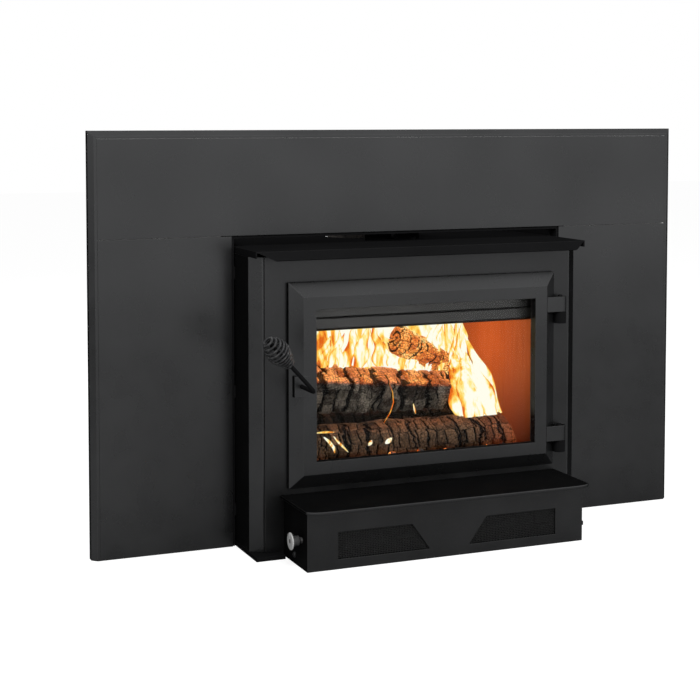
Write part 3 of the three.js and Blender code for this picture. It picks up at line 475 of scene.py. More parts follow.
def makeChar(name, look, ashShare, ashColour, hotter):
    material, tree, shader, where = startMaterial(name)
    crack = addNode(tree, "Attribute", attribute_name="crack").outputs["Fac"]
    heat = addNode(tree, "Attribute", attribute_name="warmth").outputs["Fac"]
    tone = addNode(tree, "Attribute", attribute_name="tone").outputs["Fac"]
    cloud = grain(tree, where, 34, 5, 0.65, 0.5)
    fine = grain(tree, stretched(tree, where, (70, 280, 280)), 1, 5, 0.7)
    flakes = grain(tree, where, 210, 4, 0.7, 0.6)
    wobble = addNode(tree, "TexNoise", {"Vector": where, "Scale": 90}).outputs["Color"]
    bent = stretched(tree, wobble, look["wobble"])
    bent = addNode(tree, "VectorMath", {0: bent, 1: where}, operation="ADD").outputs[0]
    values = {"Vector": stretched(tree, bent, look["checks"]), "Scale": 1, "Randomness": 0.75}
    cells = addNode(tree, "TexVoronoi", values, feature="DISTANCE_TO_EDGE").outputs[0]
    checks = times(tree, fit(tree, cells, 0.03, 0.11, 1, 0), fit(tree, cloud, 0.3, 0.5, 0.3, 1))
    ash = plus(tree, cloud, times(tree, tone, 0.42))
    ash = plus(tree, ash, times(tree, flakes, 0.5))
    ash = fit(tree, ash, 1.25 - ashShare, 1.6 - ashShare)
    colour = mixColours(tree, fit(tree, fine, 0.3, 0.7), look["char"], look["brown"])
    colour = mixColours(tree, ash, colour, ashColour)
    colour = mixColours(tree, fit(tree, fine, 0.52, 0.75, 0, 0.6), colour, look["char"])
    colour = mixColours(tree, times(tree, checks, 0.85), colour, look["char"])
    colour = mixColours(tree, fit(tree, crack, 0.12, 0.5), colour, look["char"])
    patchy = fit(tree, cloud, 0.35, 0.65, -0.3, 0.25)
    streak = plus(tree, patchy, fit(tree, fine, 0.3, 0.7, -0.2, 0.25))
    warm = plus(tree, times(tree, heat, 0.72), times(tree, streak, heat), True)
    bare = times(tree, fit(tree, crack, 0.1, 0.5, 1.0, 0.06), fit(tree, checks, 0, 1, 1, 0.2))
    glow = times(tree, fit(tree, heat, 0.08, 0.5, 0, hotter), bare)
    bump = doMath(tree, "SUBTRACT", fine, times(tree, crack, 0.8))
    bump = doMath(tree, "SUBTRACT", bump, times(tree, checks, 0.7))
    setSockets(tree, shader, {
        "Base Color": colour,
        "Roughness": 0.93,
        "Specular IOR Level": 0.15,
        "Emission Color": ramp(tree, warm, look["heated"]),
        "Emission Strength": glow,
        "Normal": bumped(tree, bump, 0.6, 0.0015),
    })
    return material


# flame: orange fringes, yellow streaks and a white heart, drawn upwards
flameLook = {
    "stops": [
        (0.0, (0.72, 0.12, 0.008)),
        (0.22, (0.95, 0.33, 0.03)),
        (0.42, (1.0, 0.62, 0.09)),
        (0.6, (1.0, 0.86, 0.33)),
        (0.78, (1.0, 0.98, 0.84)),
    ],
    "strength": 1.04,
    "contrast": 0.62,
}


def makeFlame(name, look, white, wide):
    material, tree, shader, where = startMaterial(name)
    tree.nodes.remove(shader)
    lick = grain(tree, stretched(tree, where, (wide, wide * 0.6, wide * 0.3)), 1, 3.5, 0.55, 1.6)
    fleck = grain(tree, stretched(tree, where, (wide * 3, wide * 3, wide * 1.0)), 1, 3, 0.6, 1.2)
    edge = addNode(tree, "Attribute", attribute_name="heart").outputs["Fac"]
    tone = fit(tree, lick, 0.34, 0.62, 0.0, 0.85)
    tone = plus(tree, tone, fit(tree, fleck, 0.3, 0.7, -0.18, 0.16))
    tone = plus(tree, tone, fit(tree, edge, 0, 2, white - look["contrast"], white + look["contrast"]), True)
    colour = ramp(tree, tone, look["stops"])
    fire = addNode(tree, "Emission", {"Color": colour, "Strength": look["strength"]})
    out = tree.nodes["Material Output"]
    tree.links.new(fire.outputs[0], out.inputs["Surface"])
    return material


# live coals: a grey skin over glowing veins
emberLook = {
    "skin": (0.05, 0.035, 0.03),
    "ash": (0.22, 0.2, 0.18),
    "heated": [(0, (0.4, 0.02, 0.002)), (0.5, (1.0, 0.2, 0.015)), (1, (1, 0.62, 0.15))],
    "strength": 3.0,
    "veins": 130,
}


def makeEmber(name, look):
    material, tree, shader, where = startMaterial(name)
    values = {"Vector": where, "Scale": look["veins"]}
    cells = addNode(tree, "TexVoronoi", values, feature="DISTANCE_TO_EDGE")
    vein = fit(tree, cells.outputs[0], 0.02, 0.16, 1, 0)
    cloud = grain(tree, where, 45, 4)
    heat = times(tree, vein, fit(tree, cloud, 0.4, 0.6))
    heat = plus(tree, heat, fit(tree, cloud, 0.55, 0.75, 0, 0.8))
    setSockets(tree, shader, {
        "Base Color": mixColours(tree, cloud, look["skin"], look["ash"]),
        "Roughness": 0.95,
        "Emission Color": ramp(tree, heat, look["heated"]),
        "Emission Strength": times(tree, heat, look["strength"]),
        "Normal": bumped(tree, cloud, 0.5, 0.002),
    })
    return material


# wood ash, with the fire still under it where it is thin
ashLook = {
    "stops": [(0.3, (0.05, 0.045, 0.04)), (0.5, (0.2, 0.185, 0.17)), (0.7, (0.42, 0.4, 0.37))],
    "glow": (1.0, 0.16, 0.01),
    "strength": 0.9,
}


def makeAsh(name, look):
    material, tree, shader, where = startMaterial(name)
    cloud = grain(tree, where, 30, 6, 0.7)
    fine = grain(tree, where, 500, 4, 0.7)
    setSockets(tree, shader, {
        "Base Color": ramp(tree, cloud, look["stops"]),
        "Roughness": 1.0,
        "Specular IOR Level": 0.1,
        "Emission Color": look["glow"],
        "Emission Strength": fit(tree, cloud, 0.44, 0.3, 0, look["strength"]),
        "Normal": bumped(tree, fine, 0.7, 0.0015),
    })
    return material


finishes = {
    "charcoal": makePaint("charcoalPaint", charcoalLook),
    "darkerSatin": makePaint("darkerSatinPaint", darkerSatinLook),
    "shield": makePaint("shieldPaint", shieldLook),
    "dark": makePaint("blackAndShadePaint", blackAndShadeLook),
    "enamelAndShade": makePaint("motorEnamelAndShade", enamelAndShadeLook),
    "zinc": makeZinc("zincSheet", zincLook),
    "plate": makeHotPlate("heatedPlate", plateLook),
    "brick": makeBrick("fireBrick", brickLook),
    "board": makeBoard("fibreBoard", boardLook),
    "rope": makeRope("gasketRope", ropeLook),
    "glass": makeGlass("ceramicGlass", glassLook),
    "wire": makeWire("blackenedWire", wireLook),
    "mesh": makeWire("blackMesh", meshLook),
    "dull": makeWire("dullSteel", dullLook),
    "bright": makeBright("satinSteel", brightLook),
    "plastic": makePlastic("blackPlastic", plasticLook),
    "ash": makeAsh("ashBed", ashLook),
    "ember": makeEmber("liveCoal", emberLook),
}
finishOfNodes = {
    "charcoal": [
        "faceplate_top_panel", "faceplate_left_panel", "faceplate_right_panel", "trim_left", "trim_top",
        "trim_right", "jacket_left", "jacket_right", "door_frame", "hinge_strap_upper",
        "hinge_strap_lower", "handle_boss",
    ],
    "shield": ["airwash_deflector"],
    "darkerSatin": ["front_plate", "blower_housing", "shelf_plate"],
    # own black for the pins, rods and shutter; painted shade for the cornice, jacket top, base plate,
    # opening frame and hinge brackets
    "dark": [
        "opening_frame", "base_plate", "jacket_top", "cornice", "hinge_pin_upper", "hinge_pin_lower",
        "hinge_bracket_upper", "hinge_bracket_lower", "handle_rod", "air_shutter", "air_control_rod",
    ],
    "zinc": ["jacket_rear"],
    # motor and fan: enamel, and painted shade inside the housing
    "enamelAndShade": ["blower_motor", "fan_rotor"],
    "plate": [
        "firebox_floor", "firebox_left_wall", "firebox_right_wall", "firebox_rear_wall", "firebox_roof",
        "flue_collar", "air_tube_front", "air_tube_middle", "air_tube_rear",
        "glass_retainer", "latch_pawl", "latch_keeper",
    ],
    "brick": ["brick_floor", "brick_left", "brick_right", "brick_rear"],
    "board": ["baffle_board"],
    "rope": ["glass_gasket", "door_gasket"],
    "glass": ["door_glass"],
    "wire": ["handle_grip_coil"],
    "dull": ["knob_nut"],
    "mesh": ["grille_left", "grille_right"],
    "bright": ["speed_knob"],
    "plastic": ["speed_controller", "cord_gland"],
}
for finishName, names in finishOfNodes.items():
    for nodeName in names:
        for materialSlot in nodes[nodeName].material_slots:
            materialSlot.material = finishes[finishName]
print("finishes made:", len(finishes))


def addPiece(name, mesh, material, body, replaced=()):
    piece = addObject(name, mesh)
    mesh.materials.append(material)
    for face in mesh.polygons:
        face.use_smooth = True
    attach(piece, body)
    if replaced:
        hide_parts(*replaced)
    return piece


def meshFrom(name, corners, faces, layers=None):
    mesh = bpy.data.meshes.new(name)
    mesh.from_pydata([tuple(corner) for corner in corners], [], faces)
    for layer, values in (layers or {}).items():
        attribute = mesh.attributes.new(layer, "FLOAT", "POINT")
        attribute.data.foreach_set("value", values)
    mesh.validate()
    mesh.update()
    return mesh


# closes a run of equal rings into one skin with flat ends
def skinRings(rings, corners, faces):
    count = len(rings[0])
    first = len(corners)
    for ring in rings:
        corners.extend(ring)
    for i in range(len(rings) - 1):
        for j in range(count):
            here = first + i * count
            there = here + count
            nextJ = (j + 1) % count
            faces.append((here + j, here + nextJ, there + nextJ, there + j))
    last = first + (len(rings) - 1) * count
    faces.append(tuple(first + j for j in reversed(range(count))))
    faces.append(tuple(last + j for j in range(count)))


def tubeRings(path, radius, sides, hint=Vector((0, 0, 1)), taper=1.0):
    rings = []
    side = None
    for i, centre in enumerate(path):
        before = path[max(i - 1, 0)]
        after = path[min(i + 1, len(path) - 1)]
        tangent = (after - before).normalized()
        if side is None:
            side = hint - tangent * hint.dot(tangent)
        else:
            side = side - tangent * side.dot(tangent)
        side.normalize()
        up = tangent.cross(side)
        ends = 1.0
        if taper < 1 and i in (0, len(path) - 1):
            ends = taper
        ring = []
        for j in range(sides):
            angle = 2 * math.pi * j / sides
            ring.append(centre + (side * math.cos(angle) + up * math.sin(angle)) * radius * ends)
        rings.append(ring)
    return rings


# the spring grip, the same winding as the solid's, drawn finely
grip = {
    "pivot": Vector((-0.261, -0.188, 0.325)),
    "direction": Vector((-0.675, -0.32, 0.667)),
    "start": 0.087,
    "length": 0.078,
    "radius": 0.0227,
    "neck": 0.0076,
    "tip": 0.0084,
    "wire": 0.0024,
    "turns": 10,
    "stepsPerTurn": 40,
    "sides": 12,
}


def buildGrip(look):
    direction = look["direction"].normalized()
    turn = Vector((0, 0, 1)).rotation_difference(direction)
    start = look["pivot"] + direction * look["start"]
    steps = look["turns"] * look["stepsPerTurn"]
    path = []
    for i in range(steps + 1):
        t = i / steps
        ends = look["neck"] + (look["tip"] - look["neck"]) * t
        egg = max(math.sin(math.pi * t ** 1.25), 0) ** 1.15
        radius = ends + (look["radius"] - look["wire"] - ends) * egg
        angle = 2 * math.pi * look["turns"] * t
        point = Vector((radius * math.cos(angle), radius * math.sin(angle), look["length"] * t))
        path.append(start + turn @ point)
    run = look["wire"] * 0.5
    path.insert(0, path[0] + (path[0] - path[1]).normalized() * run)
    path.append(path[-1] + (path[-1] - path[-2]).normalized() * run)
    corners, faces = [], []
    skinRings(tubeRings(path, look["wire"], look["sides"], direction, 0.6), corners, faces)
    mesh = meshFrom("gripSpring", corners, faces)
    addPiece("gripSpring", mesh, finishes["wire"], "handle", ["handle_grip_coil"])


buildGrip(grip)
print("grip wound")


# woven wire behind the two windows of the blower
weave = {
    "outer": 0.229,
    "topInner": 0.078,
    "bottomInner": 0.041,
    "low": 0.0185,
    "high": 0.0695,
    "lap": 0.0075,
    "face": -0.2177,
    "wire": 0.00062,
    "pitch": 0.0033,
    "wave": 0.0006,
}


def buildWeave(side, look):
    lap = look["lap"]
    low, high = look["low"] - lap, look["high"] + lap
    slant = (look["topInner"] - look["bottomInner"]) / (look["high"] - look["low"])
    outer = look["outer"] + lap
    middle = look["face"] + look["wire"] + look["wave"] + 0.0002

    def innerAt(z):
        return look["bottomInner"] - lap + slant * (min(max(z, look["low"]), look["high"]) - look["low"])

    corners, faces = [], []
    halfPitch = look["pitch"] / 2
    rows = int((high - low) / look["pitch"])
    for i in range(rows + 1):
        z = low + i * look["pitch"]
        count = max(int((outer - innerAt(z)) / halfPitch), 2)
        path = []
        for k in range(count + 1):
            x = outer - k * halfPitch
            lift = look["wave"] * math.sin(math.pi * (x / look["pitch"] + i))
            path.append(Vector((side * x, middle + lift, z)))
        skinRings(tubeRings(path, look["wire"], 5), corners, faces)
    columns = int((outer - look["bottomInner"] + lap) / look["pitch"])
    for i in range(columns + 1):
        x = outer - i * look["pitch"]
        top = high
        if x < look["topInner"] - lap:
            top = look["low"] + (x - look["bottomInner"] + lap) / slant
        count = int((top - low) / halfPitch)
        if count < 2:
            continue
        path = []
        for k in range(count + 1):
            z = low + k * halfPitch
            lift = look["wave"] * math.sin(math.pi * (z / look["pitch"] + i))
            path.append(Vector((side * x, middle - lift, z)))
        skinRings(tubeRings(path, look["wire"], 5, Vector((1, 0, 0))), corners, faces)
    name = "weaveRight" if side > 0 else "weaveLeft"
    node = "grille_right" if side > 0 else "grille_left"
    addPiece(name, meshFrom(name, corners, faces), finishes["mesh"], "root", [node])


buildWeave(-1, weave)
buildWeave(1, weave)
print("mesh woven")


# speed knob: a turned disc with a knurled rim and a pointer slot, on a darker hub;
# the profile's points are (distance behind the face, radius)
knob = {
    "axisY": -0.192,
    "axisZ": 0.054,
    "face": -0.313,
    "teeth": 36,
    "knurl": 0.0005,
    "slotDepth": 0.0009,
    "slotHalf": 0.0011,
    "slotFrom": 0.003,
    "profile": [
        (0.0, 0.004), (0.0, 0.008), (0.0, 0.0115), (0.0002, 0.0145), (0.0007, 0.0154),
        (0.001, 0.0155), (0.0023, 0.0155), (0.0026, 0.0152), (0.003, 0.0136), (0.0038, 0.0096),
        (0.0046, 0.0093), (0.0162, 0.0093), (0.0169, 0.0088), (0.0169, 0.0026), (0.023, 0.0026),
    ],
    "rimFrom": 4,
    "rimTo": 7,
    "hubFrom": 7,
}


def buildKnob(look):
    sides = look["teeth"] * 4
    corners, faces = [], []
    for k, (along, radius) in enumerate(look["profile"]):
        knurled = look["rimFrom"] <= k <= look["rimTo"]
        for j in range(sides):
            angle = 2 * math.pi * j / sides
            reach = radius + (look["knurl"] * math.sin(angle * look["teeth"]) if knurled else 0)
            y, z = reach * math.cos(angle), reach * math.sin(angle)
            inSlot = along == 0 and abs(y) < look["slotHalf"] and z > look["slotFrom"]
            sunk = look["slotDepth"] if inSlot else 0
            corners.append((look["face"] + along + sunk, look["axisY"] + y, look["axisZ"] + z))
    last = len(look["profile"]) - 1
    for k in range(last):
        for j in range(sides):
            here, there = k * sides, (k + 1) * sides
            nextJ = (j + 1) % sides
            faces.append((here + j, there + j, there + nextJ, here + nextJ))
    faces.append(tuple(range(sides)))
    faces.append(tuple(last * sides + j for j in reversed(range(sides))))
    mesh = meshFrom("turnedKnob", corners, faces)
    addPiece("turnedKnob", mesh, finishes["bright"], "knob", ["speed_knob"])
    mesh.materials.append(finishes["dull"])
    # the hub is dull, and so are the two end faces, which come last: the face's centre and the back
    for face in mesh.polygons:
        if face.index // sides >= look["hubFrom"]:
            face.material_index = 1


buildKnob(knob)
print("knob turned")


# three split logs and one burning split behind them, their char broken into blocks;
# heat is on the top face, at the right-hand end and overall
logs = {
    "logFront": {
        "node": "log_front", "start": (-0.232, -0.022, 0.1913), "end": (0.226, -0.020, 0.1903),
        "radii": (0.041, 0.040), "slant": 0.45, "square": 2.4, "lean": 0.35, "blocks": (0.021, 0.034),
        "depth": 0.0058, "seed": 3, "topHeat": 0.1, "endHeat": 0.4, "allHeat": 0.0, "ash": 0.62,
        "split": 1.6, "glow": 1.0, "ashColour": (0.29, 0.17, 0.095),
    },
    "logUpper": {
        "node": "log_upper", "start": (-0.228, 0.038, 0.295), "end": (0.182, 0.034, 0.262),
        "radii": (0.056, 0.040), "slant": 0.0, "square": 5.0, "lean": 0.38, "blocks": (0.025, 0.042),
        "depth": 0.0085, "seed": 8, "topHeat": 0.82, "endHeat": 0.5, "allHeat": 0.0, "ash": 0.47,
        "split": 2.4, "glow": 1.1, "ashColour": (0.27, 0.235, 0.19),
    },
    "logRear": {
        "node": "log_rear", "start": (-0.220, 0.092, 0.1963), "end": (0.212, 0.088, 0.1923),
        "radii": (0.046, 0.042), "slant": 0.0, "square": 2.2, "lean": 0.0, "blocks": (0.022, 0.018),
        "depth": 0.005, "seed": 21, "topHeat": 0.12, "endHeat": 0.2, "allHeat": 0.0, "ash": 0.2,
        "split": 1.6, "glow": 1.0, "ashColour": (0.29, 0.17, 0.095),
    },
    "hotSplit": {
        "node": None, "start": (0.008, 0.048, 0.378), "end": (0.150, 0.080, 0.312),
        "radii": (0.033, 0.029), "slant": 0.0, "square": 2.6, "lean": 0.6, "blocks": (0.024, 0.02),
        "depth": 0.004, "seed": 33, "topHeat": 0.2, "endHeat": 0.35, "allHeat": 0.92, "ash": -0.2,
        "split": 0.8, "glow": 1.25, "ashColour": (0.2, 0.1, 0.04),
    },
}

logShape = {
    "step": 0.0017,
    "sides": 150,
    "skin": 0.003,
    "lumps": (0.004, 0.0013, 0.0016),
    "endShares": (0.93, 0.86, 0.78, 0.7, 0.6, 0.5, 0.4, 0.3, 0.2, 0.1),
    "endCrack": 0.005,
    "endProud": 0.0015,
    "cutEndHeat": 0.3,
    "endTone": 0.4,
}


# the same number between 0 and 1 each time for the same three
def chance(first, second, third):
    value = math.sin(first * 127.1 + second * 311.7 + third * 74.7) * 43758.5453
    return value - math.floor(value)


def softStep(value, low, high):
    t = min(max((value - low) / (high - low), 0.0), 1.0)
    return t * t * (3 - 2 * t)


# cracks across the grain in every row of blocks, long ones through all rows, finer ones along it
def charBlock(look, x, angle, radius, wander):
    blockLong, blockRound = look["blocks"]
    seed = look["seed"]
    rows = max(round(2 * math.pi * radius / blockRound), 3)
    row = (angle / (2 * math.pi) * rows + wander.y * 0.5) % rows
    rowIndex = math.floor(row)
    column = x / blockLong + chance(rowIndex, seed, 1) + wander.x
    columnIndex = math.floor(column)
    nearest = round(column)
    across = abs(column - nearest) * blockLong
    width = 0.0011 + 0.003 * chance(nearest, rowIndex, seed)
    crack = 0.85 * (1 - min(across / width, 1))
    along = min(row - rowIndex, 1 - row + rowIndex) * blockRound
    thin = 0.0008 + 0.0014 * chance(round(row) % rows, columnIndex, seed)
    crack = max(crack, 0.6 * (1 - min(along / thin, 1)))
    main = x / (blockLong * 2.3) + 0.37 * seed + wander.x * 0.9
    deep = (0.0012 + 0.0042 * chance(round(main), seed, 5)) * look["split"]
    crack = max(crack, 1 - min(abs(main - round(main)) * blockLong * 2.3 / deep, 1))
    return crack * crack * (3 - 2 * crack), chance(columnIndex, rowIndex, seed + 2)


def buildLog(name, look):
    start, end = Vector(look["start"]), Vector(look["end"])
    axis = (end - start).normalized()
    up = (Vector((0, 0, 1)) - axis * axis.z).normalized()
    across = axis.cross(up)
    length = (end - start).length
    startRadius, endRadius = look["radii"]
    steps, sides = int(length / logShape["step"]), logShape["sides"]
    lumpWide, lumpFine, lumpBlock = logShape["lumps"]
    shift = Vector((look["seed"] * 7.3, look["seed"] * 3.1, look["seed"] * 1.7))
    power = look["square"]
    corners, faces, cracks, heats, tones = [], [], [], [], []
    rings = []
    for i in range(steps + 1):
        t = i / steps
        radius = startRadius + (endRadius - startRadius) * t
        ring = []
        for j in range(sides):
            angle = 2 * math.pi * j / sides
            turned = angle - look["lean"]
            section = (abs(math.cos(turned)) ** power + abs(math.sin(turned)) ** power) ** (-1 / power)
            section = section / (2 ** (0.5 - 1 / power)) if power > 2 else 1.0
            flat = Vector((t * length, math.cos(angle) * radius, math.sin(angle) * radius))
            lump = noise.noise(flat * 22 + shift) * lumpWide + noise.noise(flat * 70 + shift) * lumpFine
            wander = Vector((noise.noise(flat * 26 + shift) * 0.3, noise.noise(flat * 30 - shift) * 0.5, 0))
            wander.x += noise.noise(flat * 120 + shift) * 0.11
            wander.y += noise.noise(flat * 140 - shift) * 0.16
            crack, tone = charBlock(look, flat.x, angle, radius, wander)
            lump += (tone - 0.5) * lumpBlock * (1 - crack)
            cut = radius * section + lump - look["depth"] * crack - logShape["skin"]
            place = start + axis * (t * length - look["slant"] * t * math.sin(angle) * cut)
            place = place - across * (math.cos(angle) * cut) + up * (math.sin(angle) * cut)
            if i in (0, steps):
                place = place + (start + axis * (t * length) - place) * 0.06
            ring.append(place)
            cracks.append(crack)
            tones.append(tone)
            heat = look["topHeat"] * softStep(math.sin(turned), 0.6, 0.78)
            heat = max(heat, look["endHeat"] * softStep(t, 0.72, 1.0)) + look["allHeat"]
            heats.append(heat + noise.noise(flat * 16 + shift) * 0.3 * heat)
        rings.append(ring)
    skinRings(rings, corners, faces)
    del faces[-2:]
    # end grain: rings of points drawn in to the heart, with radial checks
    for endIndex, ring in ((0, rings[0]), (steps, rings[-1])):
        first = endIndex * sides
        middle = sum(ring, Vector()) / sides
        outward = -axis if endIndex == 0 else axis
        previous = [first + j for j in range(sides)]
        for share in logShape["endShares"]:
            current = []
            for j, point in enumerate(ring):
                angle = 2 * math.pi * j / sides
                spot = Vector((math.cos(angle) * 3.2, math.sin(angle) * 3.2, look["seed"] + share * 0.6))
                check = softStep(1 - abs(noise.noise(spot)) * 6, 0.2, 0.9)
                ringCrack = softStep(noise.noise(Vector((share * 11, look["seed"], angle * 0.3))), 0.15, 0.4)
                check = max(check, ringCrack * 0.8)
                proud = logShape["endProud"] - check * logShape["endCrack"]
                place = middle + (point - middle) * share + outward * proud
                current.append(len(corners))
                corners.append(place)
                cracks.append(check)
                tones.append(logShape["endTone"])
                endHeat = look["endHeat"] if endIndex else logShape["cutEndHeat"]
                heats.append(max(endHeat, look["allHeat"]))
            for j in range(sides):
                nextJ = (j + 1) % sides
                quad = (previous[j], previous[nextJ], current[nextJ], current[j])
                faces.append(quad if endIndex else tuple(reversed(quad)))
            previous = current
        cap = previous if endIndex else list(reversed(previous))
        faces.append(tuple(cap))
    mesh = meshFrom(name, corners, faces, {"crack": cracks, "warmth": heats, "tone": tones})
    material = makeChar(name + "Char", charLook, look["ash"], look["ashColour"], look["glow"])
    replaced = [look["node"]] if look["node"] else []
    addPiece(name, mesh, material, "root", replaced)


for logName, logLook in logs.items():
    buildLog(logName, logLook)
print("logs charred")


# the curtain of flame behind the logs: rows of (height, left, right, depth in the box, thickness)
curtain = {
    "rows": [
        (0.200, -0.236, 0.249, 0.118, 0.012), (0.252, -0.240, 0.238, 0.100, 0.018),
        (0.289, -0.240, 0.222, 0.092, 0.020), (0.324, -0.240, 0.188, 0.090, 0.020),
        (0.369, -0.240, 0.192, 0.088, 0.019), (0.399, -0.240, 0.182, 0.090, 0.017),
        (0.420, -0.232, 0.160, 0.094, 0.012), (0.432, -0.205, 0.120, 0.098, 0.005),
    ],
    "fold": 0.016, "rightWall": 0.2515, "seed": 5, "around": 260, "up": 90,
    "white": -0.24, "wide": 21, "drift": 1.4,
}
# where, from left to right, the flames turn from orange to white
whitening = (-0.22, -0.03)


def rowAt(rows, height):
    for low, high in zip(rows, rows[1:]):
        if height <= high[0]:
            t = (height - low[0]) / (high[0] - low[0])
            t = min(max(t, 0.0), 1.0)
            return [a + (b - a) * t for a, b in zip(low, high)]
    return list(rows[-1])


def addFlame(name, corners, faces, hearts, look):
    material = makeFlame(name + "Fire", flameLook, look["white"], look["wide"])
    flame = addPiece(name, meshFrom(name, corners, faces, {"heart": hearts}), material, "root")
    flame.visible_shadow = False


def buildCurtain(name, look):
    rows = look["rows"]
    low, high = rows[0][0], rows[-1][0]
    rings, hearts = [], []
    for i in range(look["up"] + 1):
        height = low + (high - low) * i / look["up"]
        _, left, right, deep, thick = rowAt(rows, height)
        sway = noise.noise(Vector((look["seed"], 0, height * 26))) * 0.006
        middle, half = (left + right) / 2, (right - left) / 2
        ring = []
        for j in range(look["around"]):
            angle = 2 * math.pi * j / look["around"]
            x = middle + half * math.cos(angle)
            edge = min(1.0, (1 - abs(math.cos(angle))) * 12)
            fold = noise.noise(Vector((x * 34, look["seed"], height * 9))) * look["fold"]
            fold += noise.noise(Vector((x * 90, look["seed"], height * 22))) * look["fold"] * 0.35
            y = deep + thick * math.sin(angle) + fold * edge
            x += sway * abs(math.cos(angle))
            ring.append(Vector((min(x, look["rightWall"]), y, height)))
            hearts.append(edge + look["drift"] * softStep(x, *whitening))
        rings.append(ring)
    corners, faces = [], []
    skinRings(rings, corners, faces)
    addFlame(name, corners, faces, hearts, look)


buildCurtain("flameCurtain", curtain)


# tongues of flame: each group springs from a foot line and leans towards its own tips
tongues = {
    "flameRear": {
        "count": 20, "foot": ((-0.225, 0.070, 0.300), (0.150, 0.066, 0.300)),
        "tip": ((-0.215, 0.078, 0.428), (0.165, 0.078, 0.426)), "width": (0.008, 0.02),
        "rise": (0.7, 1.0), "lean": 0.03, "thick": 0.0035,
        "white": -0.24, "wide": 30, "drift": 1.55, "seed": 6,
    },
    "flameFront": {
        "count": 13, "foot": ((0.118, -0.030, 0.222), (0.213, -0.026, 0.224)),
        "tip": ((0.122, 0.034, 0.365), (0.160, 0.040, 0.395)), "width": (0.013, 0.019),
        "rise": (0.62, 1.0), "lean": 0.012, "thick": 0.005,
        "white": 0.4, "wide": 26, "drift": 0.05, "seed": 41,
    },
    "flameMiddle": {
        "count": 7, "foot": ((0.030, 0.046, 0.318), (0.150, 0.046, 0.302)),
        "tip": ((0.085, 0.060, 0.415), (0.165, 0.060, 0.420)), "width": (0.005, 0.012),
        "rise": (0.55, 1.0), "lean": 0.02, "thick": 0.0035,
        "white": 0.3, "wide": 36, "drift": 0.2, "seed": 17,
    },
    "flameLeft": {
        "count": 9, "foot": ((-0.200, 0.030, 0.335), (-0.010, 0.030, 0.326)),
        "tip": ((-0.150, 0.046, 0.425), (-0.018, 0.046, 0.428)), "width": (0.006, 0.017),
        "rise": (0.5, 1.0), "lean": 0.03, "thick": 0.004,
        "white": -0.22, "wide": 30, "drift": 1.1, "seed": 29,
    },
}


def buildTongues(name, look):
    picker = random.Random(look["seed"])
    corners, faces, hearts = [], [], []
    sides, steps = 14, 34
    for k in range(look["count"]):
        share = (k + picker.uniform(0.1, 0.9)) / look["count"]
        foot = Vector(look["foot"][0]).lerp(Vector(look["foot"][1]), share)
        tip = Vector(look["tip"][0]).lerp(Vector(look["tip"][1]), share)
        tip = foot.lerp(tip, picker.uniform(*look["rise"]))
        tip.x += picker.uniform(-1, 1) * look["lean"]
        foot.y += picker.uniform(-1, 1) * 0.006
        width = picker.uniform(*look["width"])
        bend, phase = picker.uniform(0.003, 0.009), picker.uniform(0, 6.28)
        rings = []
        for i in range(steps + 1):
            t = i / steps
            centre = foot.lerp(tip, t)
            centre.x += bend * math.sin(phase + t * 6.5) * math.sin(math.pi * min(t * 1.2, 1))
            swell = max(math.sin(math.pi * (0.1 + 0.9 * t) ** 0.72), 0.0) ** 0.9 + 0.012
            ring = []
            for j in range(sides):
                angle = 2 * math.pi * j / sides
                ring.append(centre + Vector((
                    math.cos(angle) * width * swell,
                    math.sin(angle) * look["thick"] * swell,
                    0,
                )))
                edge = (1 - abs(math.cos(angle))) * 2.2
                drift = look["drift"] * softStep(centre.x, *whitening)
                hearts.append(min(edge, 1.0) * (1 - 0.4 * t) + drift)
            rings.append(ring)
        skinRings(rings, corners, faces)
    addFlame(name, corners, faces, hearts, look)


for tongueName, tongueLook in tongues.items():
    buildTongues(tongueName, tongueLook)


# small licks on the logs: points from foot to tip, width, and how white the middle is
licks = {
    "lickLeft": {
        "path": [
            (-0.196, -0.066, 0.214), (-0.186, -0.068, 0.205),
            (-0.176, -0.068, 0.192), (-0.173, -0.066, 0.181),
        ],
        "width": 0.0032, "heart": 0.85,
    },
    "lickRight": {
        "path": [
            (-0.176, -0.067, 0.214), (-0.168, -0.068, 0.204),
            (-0.156, -0.067, 0.192), (-0.144, -0.064, 0.180),
        ],
        "width": 0.0022, "heart": 0.7,
    },
    "lickLine": {
        "path": [
            (-0.212, -0.063, 0.2225), (-0.198, -0.064, 0.223),
            (-0.184, -0.064, 0.2225), (-0.172, -0.064, 0.2215),
        ],
        "width": 0.002, "heart": 0.55,
    },
    "lickLow": {
        "path": [(-0.102, -0.066, 0.190), (-0.098, -0.067, 0.195), (-0.095, -0.066, 0.200)],
        "width": 0.0036, "heart": 0.75,
    },
    "lickMiddle": {
        "path": [(-0.066, -0.066, 0.191), (-0.059, -0.067, 0.196), (-0.052, -0.066, 0.201)],
        "width": 0.0046, "heart": 0.9,
    },
    "lickHigh": {
        "path": [(0.020, -0.022, 0.236), (0.0165, -0.024, 0.246), (0.0145, -0.022, 0.257)],
        "width": 0.0021, "heart": 0.6,
    },
    "crackLine": {
        "path": [
            (-0.034, -0.012, 0.300), (-0.028, -0.016, 0.282), (-0.027, -0.018, 0.262),
            (-0.034, -0.018, 0.242), (-0.046, -0.020, 0.226), (-0.060, -0.030, 0.214),
        ],
        "width": 0.001, "heart": -0.05,
    },
}
lickColour = {"white": 0.25, "wide": 120}


